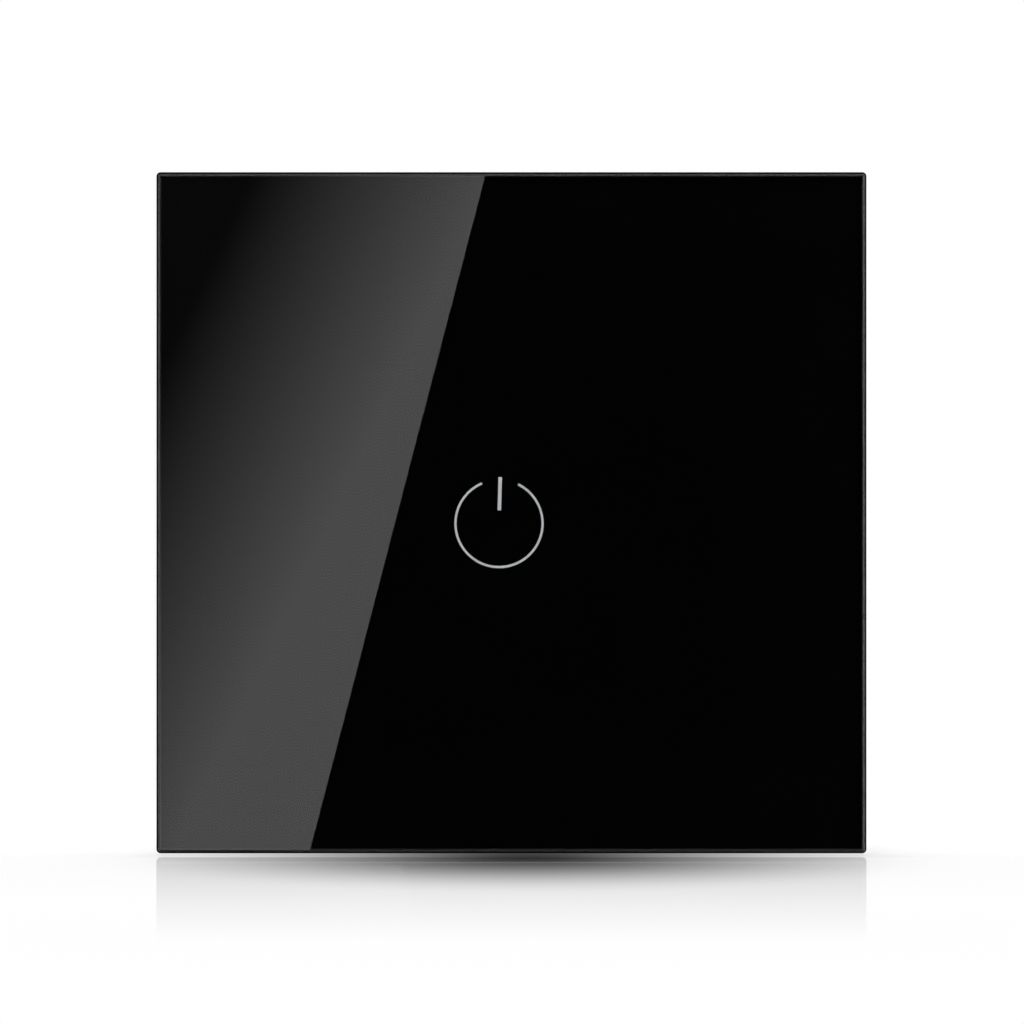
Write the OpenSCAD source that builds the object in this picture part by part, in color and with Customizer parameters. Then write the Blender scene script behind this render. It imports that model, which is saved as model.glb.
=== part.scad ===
// Touch light switch for a round wall box. A glass front panel clips over a chassis that is
// screwed to a steel mounting plate. The touch board sits in the chassis, and the relay board
// and the screw terminals sit in the housing inside the wall.
// Millimetres. Seen from the room, +X is right and +Z is up, and +Y runs into the wall.
// The origin is on the wall's surface, midway between the fixing screws.

/* [Glass panel] */
// Width of the front panel
panel_w = 86; // [82:0.5:94]
// Height of the front panel
panel_h = 82.5; // [80:0.5:94]
// Corner radius of the panel, seen from the front
panel_corner_r = 0.5; // [0.4:0.1:3]
// Thickness of the glass
glass_t = 4; // [3:0.1:6]
// Ground chamfer along the edges of the glass
glass_chamfer = 0.2; // [0.15:0.05:0.4]
// Ledge of the panel frame that shows round the glass
glass_reveal = 0.47; // [0.1:0.01:0.8]
// Thickness of the printed film behind the glass
film_t = 0.15; // [0.1:0.05:0.4]

/* [Icon] */
// Radius of the icon's ring, at the middle of its line
icon_r = 5.27; // [4:0.01:7]
// Width of the ring's line
icon_stroke = 0.26; // [0.2:0.02:1]
// Opening at the top of the ring, in degrees
icon_gap_deg = 49; // [30:1:80]
// Width of the icon's bar
icon_bar_w = 0.42; // [0.3:0.02:1]
// Length of the icon's bar
icon_bar_len = 4; // [3:0.1:4.5]
// Height of the bar's lower end above the ring's centre
icon_bar_low = 1.6; // [1:0.1:2]
// Place of the icon's centre across the panel
icon_x = -1.5; // [-3:0.1:3]
// Place of the icon's centre up the panel
icon_z = -1.3; // [-3:0.1:3]
// Slight turn of the printed icon, in degrees
icon_turn = -1.5; // [-3:0.1:3]

/* [Panel frame] */
// Wall of the frame's skirt
frame_wall = 1.6; // [1.2:0.1:2.4]
// Thickness of the frame's web behind the glass
web_t = 1.4; // [1:0.1:2.5]
// Land under the edge of the glass
land_w = 2.2; // [1:0.1:4]
// Thickness of the bonding tape
tape_t = 0.5; // [0.3:0.05:1]
// Width of the bonding tape
tape_w = 9; // [5:0.5:12]
// Side of the square window in the web
window_w = 45; // [30:0.5:50]
// Gap between the skirt and the wall
wall_gap = 0.5; // [0.3:0.1:1.5]
// Thickness of the gussets inside the skirt
gusset_t = 1; // [0.8:0.1:2]
// Width of the notch for prising the panel off
pry_w = 9; // [6:0.5:14]
// Height of the notch for prising the panel off
pry_h = 1.4; // [1:0.1:2.5]

/* [Panel clips] */
// Width of a spring clip
clip_w = 7; // [5:0.5:9]
// Thickness of the clip's strip
clip_t = 0.5; // [0.4:0.05:0.7]
// Height of the clips above and below the middle
clip_z = 15; // [11:0.5:18]
// Gap between a clip and the edge of the chassis
clip_gap = 0.4; // [0.2:0.05:0.8]
// How far a clip reaches behind the chassis ledge
clip_bite = 0.8; // [0.4:0.05:1.2]
// Gap between the end of a clip's foot and the skirt
clip_room = 1; // [0.5:0.1:2]

/* [Chassis] */
// Width of the chassis
chassis_w = 66; // [64:0.5:70]
// Height of the chassis
chassis_h = 62; // [58:0.5:70]
// Depth of the chassis in front of the mounting plate
chassis_t = 3.45; // [3.2:0.05:6]
// Thickness of the front skin
chassis_skin = 1.6; // [1:0.1:2]
// Thickness of the side walls
chassis_wall = 1.6; // [1:0.1:2.4]
// Corner radius of the chassis
chassis_corner_r = 3; // [1:0.5:5]
// Depth of the tub from the chassis front to the touch board's back
tub_depth = 4.25; // [3.5:0.05:6]
// Wall of the tub
tub_wall = 1; // [0.6:0.1:1.6]
// Width of the ledge that carries the touch board
ledge_w = 1.6; // [1:0.1:3]
// Thickness of the ledge
ledge_t = 1; // [0.6:0.1:2]

/* [Mounting plate] */
// Width of the plate
plate_w = 71; // [70:0.5:78]
// Height of the plate
plate_h = 71; // [70:0.5:76]
// Thickness of the plate
plate_t = 1; // [0.8:0.1:2]
// Corner radius of the plate
plate_corner_r = 5; // [2:0.5:8]
// Distance between opposite fixing screws
screw_spacing = 60; // [58:0.5:62]
// Width of a fixing slot
slot_w = 4.2; // [3.5:0.1:5]
// Length of a fixing slot
slot_len = 8; // [6:0.5:9]
// Width of the room round a fixing screw's head
driver_room = 10; // [8:0.5:12]
// Distance of the plate's own screws from the middle, across
plate_screw_x = 28; // [26.5:0.5:29]
// Distance of the plate's own screws from the middle, up
plate_screw_z = 24.5; // [23:0.5:27]

/* [Housing] */
// Width of the housing in the wall box
housing_w = 48; // [46:0.5:51]
// Height of the housing in the wall box
housing_h = 48; // [46:0.5:51]
// Corner cut that lets the housing into a round box
housing_cut = 10; // [8:0.5:13]
// Depth of the housing behind the wall's surface
housing_depth = 28; // [26.5:0.5:40]
// Wall of the housing
housing_wall = 1.8; // [1.4:0.1:2.4]
// Chamfer round the back of the housing
housing_chamfer = 1; // [0.5:0.1:1.5]
// Diameter of the screw bosses
boss_d = 5.2; // [4.4:0.1:6]
// Length of the screw bosses
boss_len = 10; // [7:0.5:14]
// Number of vent slots in the top of the housing
vent_count = 5; // [3:1:6]
// Width of a vent slot
vent_w = 1.4; // [0.8:0.1:2.5]
// Length of a vent slot
vent_len = 9; // [4:0.5:11]

/* [Touch board] */
// Thickness of the touch board
touch_board_t = 1.2; // [0.8:0.1:1.6]
// Diameter of the light disc behind the icon
light_disc_d = 12.6; // [11.6:0.1:13.5]
// Thickness of the light disc
light_disc_t = 3; // [1.5:0.1:3.6]
// Wall of the shroud round the light disc
shroud_wall = 0.8; // [0.5:0.1:1.2]
// Mean diameter of the touch spring
spring_d = 16.4; // [15.6:0.1:20]
// Diameter of the spring's wire
spring_wire = 0.6; // [0.4:0.05:0.7]
// Number of turns of the spring
spring_turns = 3; // [2:1:4]

/* [Relay board] */
// Thickness of the relay board
power_board_t = 1.6; // [1:0.1:2]
// Height of the posts behind the relay board
board_standoff = 6.2; // [5.5:0.1:8]
// Length of the relay
relay_w = 18.5; // [17:0.5:20]
// Width of the relay
relay_h = 10.4; // [9.6:0.1:12]
// Height of the relay from the board
relay_t = 15.2; // [13:0.1:16]
// Wall of the relay's cover
relay_wall = 0.6; // [0.4:0.05:0.8]

/* [Terminals] */
// Distance between the terminals
terminal_pitch = 9.5; // [8:0.1:10.5]
// Width of a terminal cage
cage_w = 6.6; // [5.6:0.1:7.4]
// Length of a terminal cage along the wire
cage_len = 7.6; // [6:0.1:9]
// Side wall of a terminal cage
cage_wall = 0.8; // [0.5:0.1:1.2]
// Thickness of the cage's threaded wall
cage_nut_t = 1.6; // [1:0.1:2.4]
// Room for the wire when a cage is open
wire_space = 3.5; // [3:0.1:5]
// Diameter of a wire entry
wire_hole_d = 3.8; // [2.5:0.1:4.5]
// Thickness of a terminal bar
bar_t = 1; // [0.6:0.1:1.5]
// Diameter of a terminal screw's thread
screw_d = 3; // [2.5:0.1:4]
// Diameter of a terminal screw's head
screw_head_d = 5; // [4:0.1:6]
// Height of a terminal screw's head
screw_head_t = 2; // [1.2:0.1:2.4]

/* [Hidden] */
$fn = 64;
eps = 0.1;
fit_gap = 0.3;
screw_gap = 0.1;
print_gap = 0.01;
touch_gap = 0.15;
seat_gap = 0.05;
octagon_grow = 2 - sqrt(2);
sides = [-1, 1];
corners = [[-1, -1], [1, -1], [1, 1], [-1, 1]];
inch_tenth = 2.54;

// Depths, from the wall's surface forward to the glass
y_plate_front = -plate_t;
y_chassis_front = y_plate_front - chassis_t;
y_web_front = y_chassis_front - web_t;
y_film_back = y_web_front - tape_t;
y_glass_back = y_film_back - film_t;
y_glass_front = y_glass_back - glass_t;
y_skirt_back = -wall_gap;
y_skin_back = y_chassis_front + chassis_skin;
y_ledge = y_chassis_front + tub_depth;
y_tub_back = y_ledge + ledge_t;
y_touch_front = y_ledge - touch_board_t;
y_touch_tip = y_film_back + touch_gap;

// Depths in the wall box, from the back of the housing forward
y_housing_inside = housing_depth - housing_wall;
y_power_back = y_housing_inside - board_standoff;
y_power_front = y_power_back - power_board_t;

// The octagon of the housing, and the touch board and tub that fit inside it
housing_inner_w = housing_w - 2 * housing_wall;
housing_inner_h = housing_h - 2 * housing_wall;
housing_inner_cut = housing_cut - housing_wall * octagon_grow;
boss_sink = 1.5;
housing_cut_reach = (housing_w / 2 + housing_h / 2 - housing_cut) / sqrt(2);
boss_reach = housing_cut_reach - housing_wall - boss_d / 2 + boss_sink;
boss_x = boss_reach / sqrt(2);
tub_gap = 0.6;
board_gap = 0.4;
tub_inset = tub_gap + tub_wall + board_gap;
touch_board_w = housing_inner_w - 2 * tub_inset;
touch_board_h = housing_inner_h - 2 * tub_inset;
touch_board_reach = boss_reach - boss_d / 2 - tub_inset;
touch_board_cut = (touch_board_w + touch_board_h) / 2 - touch_board_reach * sqrt(2);

// Studs of the frame, melted over to hold the clips
stud_d = 1.6;
stud_head_d = 2.8;
stud_head_t = 0.7;
clip_end_x = panel_w / 2 - frame_wall - clip_room;
stud_x = (clip_end_x + chassis_w / 2 + clip_gap + clip_t) / 2;

// Small screws: diameter, head diameter and head height
case_screw = [2.5, 4.6, 1.6];
head_sink = 0.3;
thread_end = 0.8;
y_case_head = y_chassis_front + head_sink;
case_screw_len = boss_len - 2 * thread_end - y_case_head - case_screw[2];
board_screw = [2, 3.6, 1.2];
flat_screw_head_d = 4.3;
flat_screw_grip = 1.8;
flat_screw_len = plate_t + flat_screw_grip;
flat_recess = 0.7;
boss_margin = 1.7;
touch_boss_d = board_screw[0] + 2 * boss_margin;
touch_screw_z = touch_board_h / 2 - 2.2;
touch_boss_len = 2.4;
power_post = [housing_inner_w / 2 - 3.2, 4];
power_post_d = 4.6;

// Icon light: the shroud stands on the touch board, and the spring stands round it
shroud_d = light_disc_d + 2 * (shroud_wall + seat_gap);
shroud_step = 0.5;
led_size = [2, 1.2, 0.8];
led_x = 2.4;
spring_rings = 8;
spring_sides = 6;

// Terminals
terminal_z = -housing_inner_h / 2 + cage_len / 2 + 0.8;
y_bar_back = y_power_back + bar_t;
y_screw_top = housing_depth - 0.4;
y_screw_head = y_screw_top - screw_head_t;
cage_slack = 0.2;
cage_floor_t = 1;
y_cage_nut = y_bar_back + cage_slack;
y_cage_floor = y_power_back - wire_space;
cage_travel = y_screw_head - cage_slack - cage_nut_t - y_cage_nut;
y_wire = y_cage_floor + wire_space / 2;
bar_w = cage_w - 2 * cage_wall - 2 * cage_slack;
bar_overlap = 4.5;
power_board_low = terminal_z + cage_len / 2 + 2.5;
bay_top = terminal_z + cage_len / 2 + fit_gap;
y_bay_front = y_cage_floor - cage_floor_t - 1;

// Relay: the coil stands on the board, and the armature lies over its pole
relay_gap = 0.6;
relay_x = boss_x - boss_d / 2 - relay_gap - relay_w / 2;
relay_z = touch_screw_z - touch_boss_d / 2 - relay_gap - relay_h / 2;
relay_base_t = 1.4;
yoke_t = 1.2;
yoke_w = 6.6;
yoke_peg = [1, 0.8];
coil_d = 7.6;
core_d = 3;
pole_d = 5.4;
pole_t = 0.8;
flange_t = 0.7;
air_gap = 0.7;
pivot_r = 0.55;
armature_t = 0.9;
flange_rim = 0.2;
yoke_leg_x = relay_x - relay_w / 2 + relay_wall + relay_gap;
coil_x = yoke_leg_x + yoke_t + coil_d / 2 + 2 * flange_rim;
contact_d = 2;
contact_t = 0.4;
contact_strip_t = 0.5;
contact_travel = 1.1;
contact_post_gap = 0.4;
contact_post_w = 2;
contact_low = 2.6;
contact_high = 3.9;
contact_post_x = relay_x + relay_w / 2 - relay_wall - relay_gap - contact_strip_t;
contact_x = contact_post_x - contact_post_gap - contact_d / 2;
y_relay_base = y_power_front - relay_base_t;
y_yoke_foot = y_relay_base - yoke_t - 0.2;
y_relay_top = y_power_front - relay_t;
y_contact_strip = y_relay_top + relay_wall + relay_gap;
y_moving_contact = y_contact_strip + contact_strip_t + contact_t + seat_gap;
y_pole = y_moving_contact + contact_t + contact_strip_t + armature_t + air_gap;
y_armature = y_pole - air_gap;

// Plug between the boards
pin_count = 5;
pin_w = 0.64;
header_t = 2.5;
header_z = power_board_low + header_t / 2 + 1.2;
header_w = pin_count * inch_tenth;
header_x = (touch_board_reach - ledge_w) * sqrt(2) + header_z - header_t / 2 - header_w / 2 - fit_gap;
socket_t = 8.5;
pin_reach = 3.6;
pin_end = 2;
pin_tail = 0.8;
y_socket = y_power_front - socket_t;

// Shapes in the plane of the wall, pushed through a depth
module slab(y0, y1) {
    translate([0, y1, 0]) rotate([90, 0, 0]) linear_extrude(y1 - y0) children();
}

module rod(d, y0, y1) {
    translate([0, y1, 0]) rotate([90, 0, 0]) cylinder(d = d, h = y1 - y0);
}

module cone(d0, d1, y0, y1) {
    translate([0, y1, 0]) rotate([90, 0, 0]) cylinder(d1 = d1, d2 = d0, h = y1 - y0);
}

module block(size, y0, y1) {
    slab(y0, y1) square(size, center = true);
}

module at(x, z) {
    translate([x, 0, z]) children();
}

module each_corner(x, z) {
    for (c = corners) at(c[0] * x, c[1] * z) children();
}

// A rectangle with round corners, each an arc of a few steps
function rounded_points(w, h, r, steps = 6) = [
    for (q = [0:3], i = [0:steps])
        let (a = 90 * (q + i / steps), right = q == 0 || q == 3 ? 1 : -1, up = q < 2 ? 1 : -1)
        [right * (w / 2 - r) + r * cos(a), up * (h / 2 - r) + r * sin(a)]
];

module rounded(w, h, r) {
    polygon(rounded_points(w, h, max(r, eps)));
}

// A rectangle with cut corners, grown evenly on all its sides
module octagon(w, h, cut, grow = 0) {
    x = w / 2 + grow;
    z = h / 2 + grow;
    c = cut + grow * octagon_grow;
    polygon([
        [x, c - z], [x, z - c], [x - c, z], [c - x, z],
        [-x, z - c], [-x, c - z], [c - x, -z], [x - c, -z]
    ]);
}

module housing_octagon(grow = 0) {
    octagon(housing_w, housing_h, housing_cut, grow);
}

module touch_board_octagon(grow = 0) {
    octagon(touch_board_w, touch_board_h, touch_board_cut, grow);
}

// Fasteners: the head's top faces the room, at depth y
module cross_recess(d, y, depth) {
    for (turn = [0, 90])
        rotate([0, turn, 0]) block([d * 0.56, d * 0.14], y - eps, y + depth);
}

module pan_screw(size, y, len) {
    difference() {
        union() {
            cone(size[1] * 0.8, size[1], y, y + size[2] * 0.35);
            rod(size[1], y + size[2] * 0.35, y + size[2]);
            rod(size[0], y + size[2] - eps, y + size[2] + len);
        }
        cross_recess(size[1], y, size[2] * 0.6);
    }
}

// The glass front, ground along all its edges
module glass_panel() {
    w = panel_w - 2 * glass_reveal;
    h = panel_h - 2 * glass_reveal;
    r = panel_corner_r - glass_reveal;
    c = glass_chamfer;
    color([0.02, 0.02, 0.025, 0.9]) hull() {
        slab(y_glass_front + c, y_glass_back - c) rounded(w, h, r);
        slab(y_glass_front, y_glass_back) rounded(w - 2 * c, h - 2 * c, r - c);
    }
}

// A ring open at the top, with a bar standing in the opening
module icon_shape(grow = 0) {
    half_gap = icon_gap_deg / 2 - grow / icon_r * 180 / PI;
    gap_x = 2 * icon_r * sin(half_gap);
    gap_z = 2 * icon_r * cos(half_gap);
    translate([icon_x, icon_z]) rotate(icon_turn) {
        difference() {
            circle(r = icon_r + icon_stroke / 2 + grow);
            circle(r = icon_r - icon_stroke / 2 - grow);
            polygon([[0, 0], [-gap_x, gap_z], [gap_x, gap_z]]);
        }
        translate([0, icon_bar_low + icon_bar_len / 2])
            square([icon_bar_w + 2 * grow, icon_bar_len + 2 * grow], center = true);
    }
}

module print_film() {
    inset = glass_reveal + glass_chamfer;
    color([0.01, 0.01, 0.012]) difference() {
        slab(y_glass_back, y_film_back)
            rounded(panel_w - 2 * inset, panel_h - 2 * inset, panel_corner_r - inset);
        slab(y_glass_back - eps, y_film_back + eps) icon_shape(print_gap);
    }
}

module icon_inlay() {
    color([0.75, 0.75, 0.76]) slab(y_glass_back, y_film_back) icon_shape();
}

// A closed band of foam tape in the frame's pocket
module bonding_tape() {
    w = panel_w - 2 * land_w - 2 * fit_gap;
    h = panel_h - 2 * land_w - 2 * fit_gap;
    color([0.82, 0.82, 0.8]) slab(y_film_back, y_web_front) difference() {
        square([w, h], center = true);
        square([w - 2 * tape_w, h - 2 * tape_w], center = true);
    }
}

// Gussets tie the skirt to the web, clear of the clips
module frame_gussets() {
    reach = 2.6;
    gusset_x = [12, 30];
    gusset_z = 28;
    inner_x = panel_w / 2 - frame_wall;
    inner_z = panel_h / 2 - frame_wall;
    for (s = sides) {
        for (z = [-1, 0, 1] * gusset_z)
            at(s * (inner_x - reach / 2 + eps / 2), z)
                block([reach + eps, gusset_t], y_chassis_front - eps, y_skirt_back - pry_h);
        for (x = [-gusset_x[1], -gusset_x[0], gusset_x[0], gusset_x[1]])
            at(x, s * (inner_z - reach / 2 + eps / 2))
                block([gusset_t, reach + eps], y_chassis_front - eps, y_skirt_back - pry_h);
    }
}

module panel_frame() {
    inner = [panel_w - 2 * frame_wall, panel_h - 2 * frame_wall];
    color([0.03, 0.03, 0.03]) difference() {
        union() {
            difference() {
                slab(y_film_back, y_skirt_back) rounded(panel_w, panel_h, panel_corner_r);
                block(inner, y_chassis_front, y_skirt_back + eps);
            }
            frame_gussets();
            each_corner(stud_x, clip_z) {
                rod(stud_d, y_chassis_front - eps, y_chassis_front + clip_t + stud_head_t);
                translate([0, y_chassis_front + clip_t, 0]) cone(stud_head_d, stud_d, 0, stud_head_t);
            }
        }
        block([panel_w - 2 * land_w, panel_h - 2 * land_w], y_film_back - eps, y_web_front);
        slab(y_web_front - eps, y_chassis_front + eps) rounded(window_w, window_w, 3);
        at(0, -panel_h / 2) block([pry_w, 4 * frame_wall], y_skirt_back - pry_h, y_skirt_back + eps);
    }
}

// One spring clip, bent from strip, seen along its width: foot, leg, bite and lead-in
function clip_line() =
    let (leg = chassis_w / 2 + clip_gap + clip_t / 2, bite = chassis_w / 2 - clip_bite + clip_t / 2,
         foot_y = y_chassis_front + clip_t / 2, ledge = y_skin_back + seat_gap + clip_t / 2,
         tip = y_plate_front - fit_gap - clip_t / 2)
    [[clip_end_x - clip_t / 2, foot_y], [leg, foot_y], [leg, ledge], [bite, (ledge + tip) / 2],
     [leg, tip]];

module strip(points, t) {
    for (i = [1:len(points) - 1]) hull() {
        translate(points[i - 1]) circle(d = t, $fn = 16);
        translate(points[i]) circle(d = t, $fn = 16);
    }
}

module panel_clips() {
    color([0.7, 0.71, 0.73]) difference() {
        for (s = sides, z = [-clip_z, clip_z])
            mirror([s < 0 ? 1 : 0, 0, 0])
                translate([0, 0, z - clip_w / 2]) linear_extrude(clip_w) strip(clip_line(), clip_t);
        each_corner(stud_x, clip_z)
            rod(stud_d + 2 * screw_gap, y_chassis_front - eps, y_chassis_front + 2 * clip_t);
    }
}

module slot(len, d) {
    for (s = sides) translate([s * (len - d) / 2, 0]) circle(d = d);
    square([len - d, d], center = true);
}

module mounting_plate() {
    cut_gap = 0.3;
    color([0.75, 0.76, 0.78]) difference() {
        slab(y_plate_front, 0) rounded(plate_w, plate_h, plate_corner_r);
        slab(y_plate_front - eps, eps) housing_octagon(cut_gap);
        for (s = sides) {
            at(s * screw_spacing / 2, 0) slab(y_plate_front - eps, eps) slot(slot_len, slot_w);
            at(0, s * screw_spacing / 2) slab(y_plate_front - eps, eps) rotate(90) slot(slot_len, slot_w);
        }
        each_corner(plate_screw_x, plate_screw_z) {
            rod(case_screw[0] + 2 * screw_gap, y_plate_front - eps, eps);
            flat_screw_seat();
        }
    }
}

// The cone that a countersunk head sits in, a little larger than the head
module flat_screw_seat() {
    depth = (flat_screw_head_d - case_screw[0]) / 2;
    wide = flat_screw_head_d + 2 * screw_gap;
    cone(case_screw[0] + 2 * screw_gap, wide, -depth - seat_gap, -seat_gap);
    rod(wide, -seat_gap, eps);
}

// Countersunk screws hold the plate to the chassis from the wall side
module plate_screws() {
    head_t = (flat_screw_head_d - case_screw[0]) / 2;
    color([0.6, 0.6, 0.62]) each_corner(plate_screw_x, plate_screw_z) difference() {
        union() {
            cone(case_screw[0], flat_screw_head_d, -head_t - seat_gap, -seat_gap);
            rod(case_screw[0], -flat_screw_len, -head_t);
        }
        for (turn = [0, 90]) rotate([0, turn, 0])
            block([flat_screw_head_d * 0.6, flat_screw_head_d * 0.14], -flat_recess, eps);
    }
}

// Hollows behind the chassis skin, one in each corner
module chassis_hollow() {
    x0 = driver_room / 2 + chassis_wall;
    x1 = chassis_w / 2 - chassis_wall;
    z1 = chassis_h / 2 - chassis_wall;
    difference() {
        for (c = corners)
            translate([c[0] * (x0 + x1) / 2, c[1] * (x0 + z1) / 2])
                square([x1 - x0, z1 - x0], center = true);
        housing_octagon(-housing_wall);
        for (c = corners) {
            translate([c[0] * plate_screw_x, c[1] * plate_screw_z])
                circle(d = case_screw[0] + 2 * boss_margin);
            translate([c[0] * boss_x, c[1] * boss_x]) circle(d = case_screw[1] + 2 * boss_margin);
        }
    }
}

module chassis() {
    notch_in = screw_spacing / 2 - driver_room / 2;
    notch_len = chassis_w;
    window_in = chassis_w / 2 - clip_bite - 2 * clip_t;
    color([0.86, 0.86, 0.84]) difference() {
        union() {
            slab(y_chassis_front, y_plate_front) rounded(chassis_w, chassis_h, chassis_corner_r);
            slab(y_chassis_front, y_tub_back) touch_board_octagon(board_gap + tub_wall);
            for (s = sides) at(0, s * touch_screw_z)
                rod(touch_boss_d, y_ledge, y_ledge + touch_boss_len);
        }
        slab(y_skin_back, y_plate_front + eps) chassis_hollow();
        slab(y_chassis_front - eps, y_ledge) touch_board_octagon(board_gap);
        slab(y_ledge - eps, max(y_tub_back, y_plate_front) + eps) difference() {
            touch_board_octagon(-ledge_w);
            for (s = sides) translate([0, s * touch_screw_z]) circle(d = touch_boss_d);
        }
        for (s = sides) {
            at(s * (notch_in + notch_len / 2), 0)
                block([notch_len, driver_room], y_chassis_front - eps, y_plate_front + eps);
            at(0, s * (notch_in + notch_len / 2))
                block([driver_room, notch_len], y_chassis_front - eps, y_plate_front + eps);
            for (z = [-clip_z, clip_z])
                at(s * (window_in + chassis_w / 2), z)
                    block([chassis_w, clip_w + 2 * fit_gap], y_skin_back, y_plate_front + eps);
            at(0, s * touch_screw_z)
                rod(board_screw[0] + 2 * seat_gap, y_ledge - eps, y_ledge + touch_boss_len + eps);
        }
        each_corner(boss_x, boss_x) {
            rod(case_screw[0] + 2 * screw_gap, y_chassis_front - eps, y_plate_front + eps);
            rod(case_screw[1] + 2 * screw_gap, y_chassis_front - eps, y_case_head + case_screw[2]);
        }
        each_corner(plate_screw_x, plate_screw_z) {
            rod(case_screw[0] + 2 * seat_gap, -flat_screw_len - fit_gap, y_plate_front + eps);
            flat_screw_seat();
        }
    }
}

module chassis_screws() {
    color([0.55, 0.56, 0.58]) each_corner(boss_x, boss_x)
        pan_screw(case_screw, y_case_head, case_screw_len);
}

module touch_board() {
    color([0.1, 0.32, 0.16]) difference() {
        slab(y_touch_front, y_ledge) touch_board_octagon();
        for (s = sides) at(0, s * touch_screw_z)
            rod(board_screw[0] + 2 * screw_gap, y_touch_front - eps, y_ledge + eps);
        for (i = [0:pin_count - 1]) at(pin_x(i), header_z)
            block([1, 1] * (pin_w + 2 * screw_gap), y_touch_front - eps, y_ledge + eps);
    }
}

module touch_board_screws() {
    color([0.55, 0.56, 0.58]) for (s = sides) at(0, s * touch_screw_z)
        pan_screw(board_screw, y_touch_front - board_screw[2], touch_board_t + touch_boss_len - fit_gap);
}

// Spring: a leg on the board, open turns, and a short flat end against the film
function spring_height() = y_touch_front - y_touch_tip - spring_wire;
function spring_flat() = 0.2;
function spring_point(turn) =
    let (r = spring_d / 2, rise = min(1, turn / (spring_turns - spring_flat())))
    [r * cos(360 * turn), spring_wire * 1.5 + (spring_height() - spring_wire) * rise, r * sin(360 * turn)];
function spring_line() = concat(
    [[spring_d / 2, 0, 0], [spring_d / 2, spring_wire, 0]],
    [for (i = [1:spring_turns * spring_rings]) spring_point(i / spring_rings)]
);
function radial(p) = [p[0], 0, p[2]] / norm([p[0], 0, p[2]]);
function tangent(line, i) =
    let (a = line[max(0, i - 1)], b = line[min(len(line) - 1, i + 1)]) (b - a) / norm(b - a);
function tube_ring(line, i, r, n) =
    let (t = tangent(line, i), out = radial(line[i]), side = out - (out * t) * t,
         u = side / norm(side), v = cross(t, u))
    [for (k = [0:n - 1]) line[i] + r * (u * cos(360 * k / n) + v * sin(360 * k / n))];
function self_gap(line, wire, per_turn) = min([
    for (i = [0:len(line) - 1], j = [0:len(line) - 1])
        if (j - i > per_turn / 2) norm(line[j] - line[i]) - wire
]);

module tube(line, r, n) {
    last = len(line) - 1;
    points = [for (i = [0:last]) each tube_ring(line, i, r, n)];
    walls = [for (i = [0:last - 1], k = [0:n - 1])
        let (a = i * n + k, b = i * n + (k + 1) % n) each [[a, a + n, b], [b, a + n, b + n]]];
    start = [for (k = [1:n - 2]) [0, k, k + 1]];
    end = [for (k = [1:n - 2]) [last * n, last * n + k + 1, last * n + k]];
    polyhedron(points, concat(walls, start, end));
}

module touch_spring() {
    echo(least_gap_between_spring_turns = self_gap(spring_line(), spring_wire, spring_rings));
    color([0.8, 0.8, 0.78]) translate([icon_x, y_touch_front, icon_z])
        mirror([0, 1, 0]) tube(spring_line(), spring_wire / 2, spring_sides);
}

module light_shroud() {
    color([0.93, 0.93, 0.92]) at(icon_x, icon_z) difference() {
        rod(shroud_d, y_touch_tip, y_touch_front);
        rod(light_disc_d + 2 * seat_gap, y_touch_tip - eps, y_touch_tip + light_disc_t);
        rod(light_disc_d - 2 * shroud_step, y_touch_tip + light_disc_t - eps, y_touch_front + eps);
    }
}

module light_disc() {
    color([0.9, 0.92, 0.95, 0.7]) at(icon_x, icon_z)
        rod(light_disc_d, y_touch_tip, y_touch_tip + light_disc_t);
}

module status_leds() {
    color([0.95, 0.93, 0.8]) for (s = sides) at(icon_x + s * led_x, icon_z) {
        block([led_size[0], led_size[1]], y_touch_front - led_size[2] / 2, y_touch_front);
        rod(led_size[1], y_touch_front - led_size[2], y_touch_front - led_size[2] / 2);
    }
}

// Touch controller in a small outline package, with bent leads on two sides
touch_chip_place = [12.4, 4];
touch_chip_size = [3.9, 4.9];
touch_chip_t = 1.4;

module touch_chip() {
    lead_pitch = 1.27;
    lead = [0.9, 0.4];
    stand = 0.15;
    color([0.08, 0.08, 0.09]) at(touch_chip_place[0], touch_chip_place[1]) {
        block(touch_chip_size, y_touch_front - touch_chip_t, y_touch_front - stand);
        for (s = sides, i = [-1.5:1:1.5])
            at(s * (touch_chip_size[0] / 2 + lead[0] / 2 - eps), i * lead_pitch)
                block([lead[0] + eps, lead[1]], y_touch_front - touch_chip_t / 2, y_touch_front);
    }
}

// Resistors and capacitors round the touch controller: place and long side
touch_parts = [
    [12.4, 8.6, 0], [16.6, 6.4, 90], [16.6, 2.4, 90], [12.4, -0.6, 0],
    [9, 10.6, 0], [-13, 6, 90], [-13, -4, 90]
];
touch_part_size = [2, 1.25];
touch_part_t = 0.7;

module touch_board_parts() {
    color([0.72, 0.62, 0.45]) for (p = touch_parts) at(p[0], p[1])
        rotate([0, p[2], 0]) block(touch_part_size, y_touch_front - touch_part_t, y_touch_front);
}

function pin_x(i) = header_x + (i - (pin_count - 1) / 2) * inch_tenth;

module header_pins() {
    color([0.85, 0.7, 0.3]) for (i = [0:pin_count - 1]) at(pin_x(i), header_z)
        block([pin_w, pin_w], y_touch_front - pin_tail, y_socket + pin_reach);
}

module header_strip() {
    color([0.06, 0.06, 0.06]) difference() {
        at(header_x, header_z) block([header_w, header_t], y_ledge, y_ledge + header_t);
        for (i = [0:pin_count - 1]) at(pin_x(i), header_z)
            block([1, 1] * (pin_w + 2 * seat_gap), y_ledge - eps, y_ledge + header_t + eps);
    }
}

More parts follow.
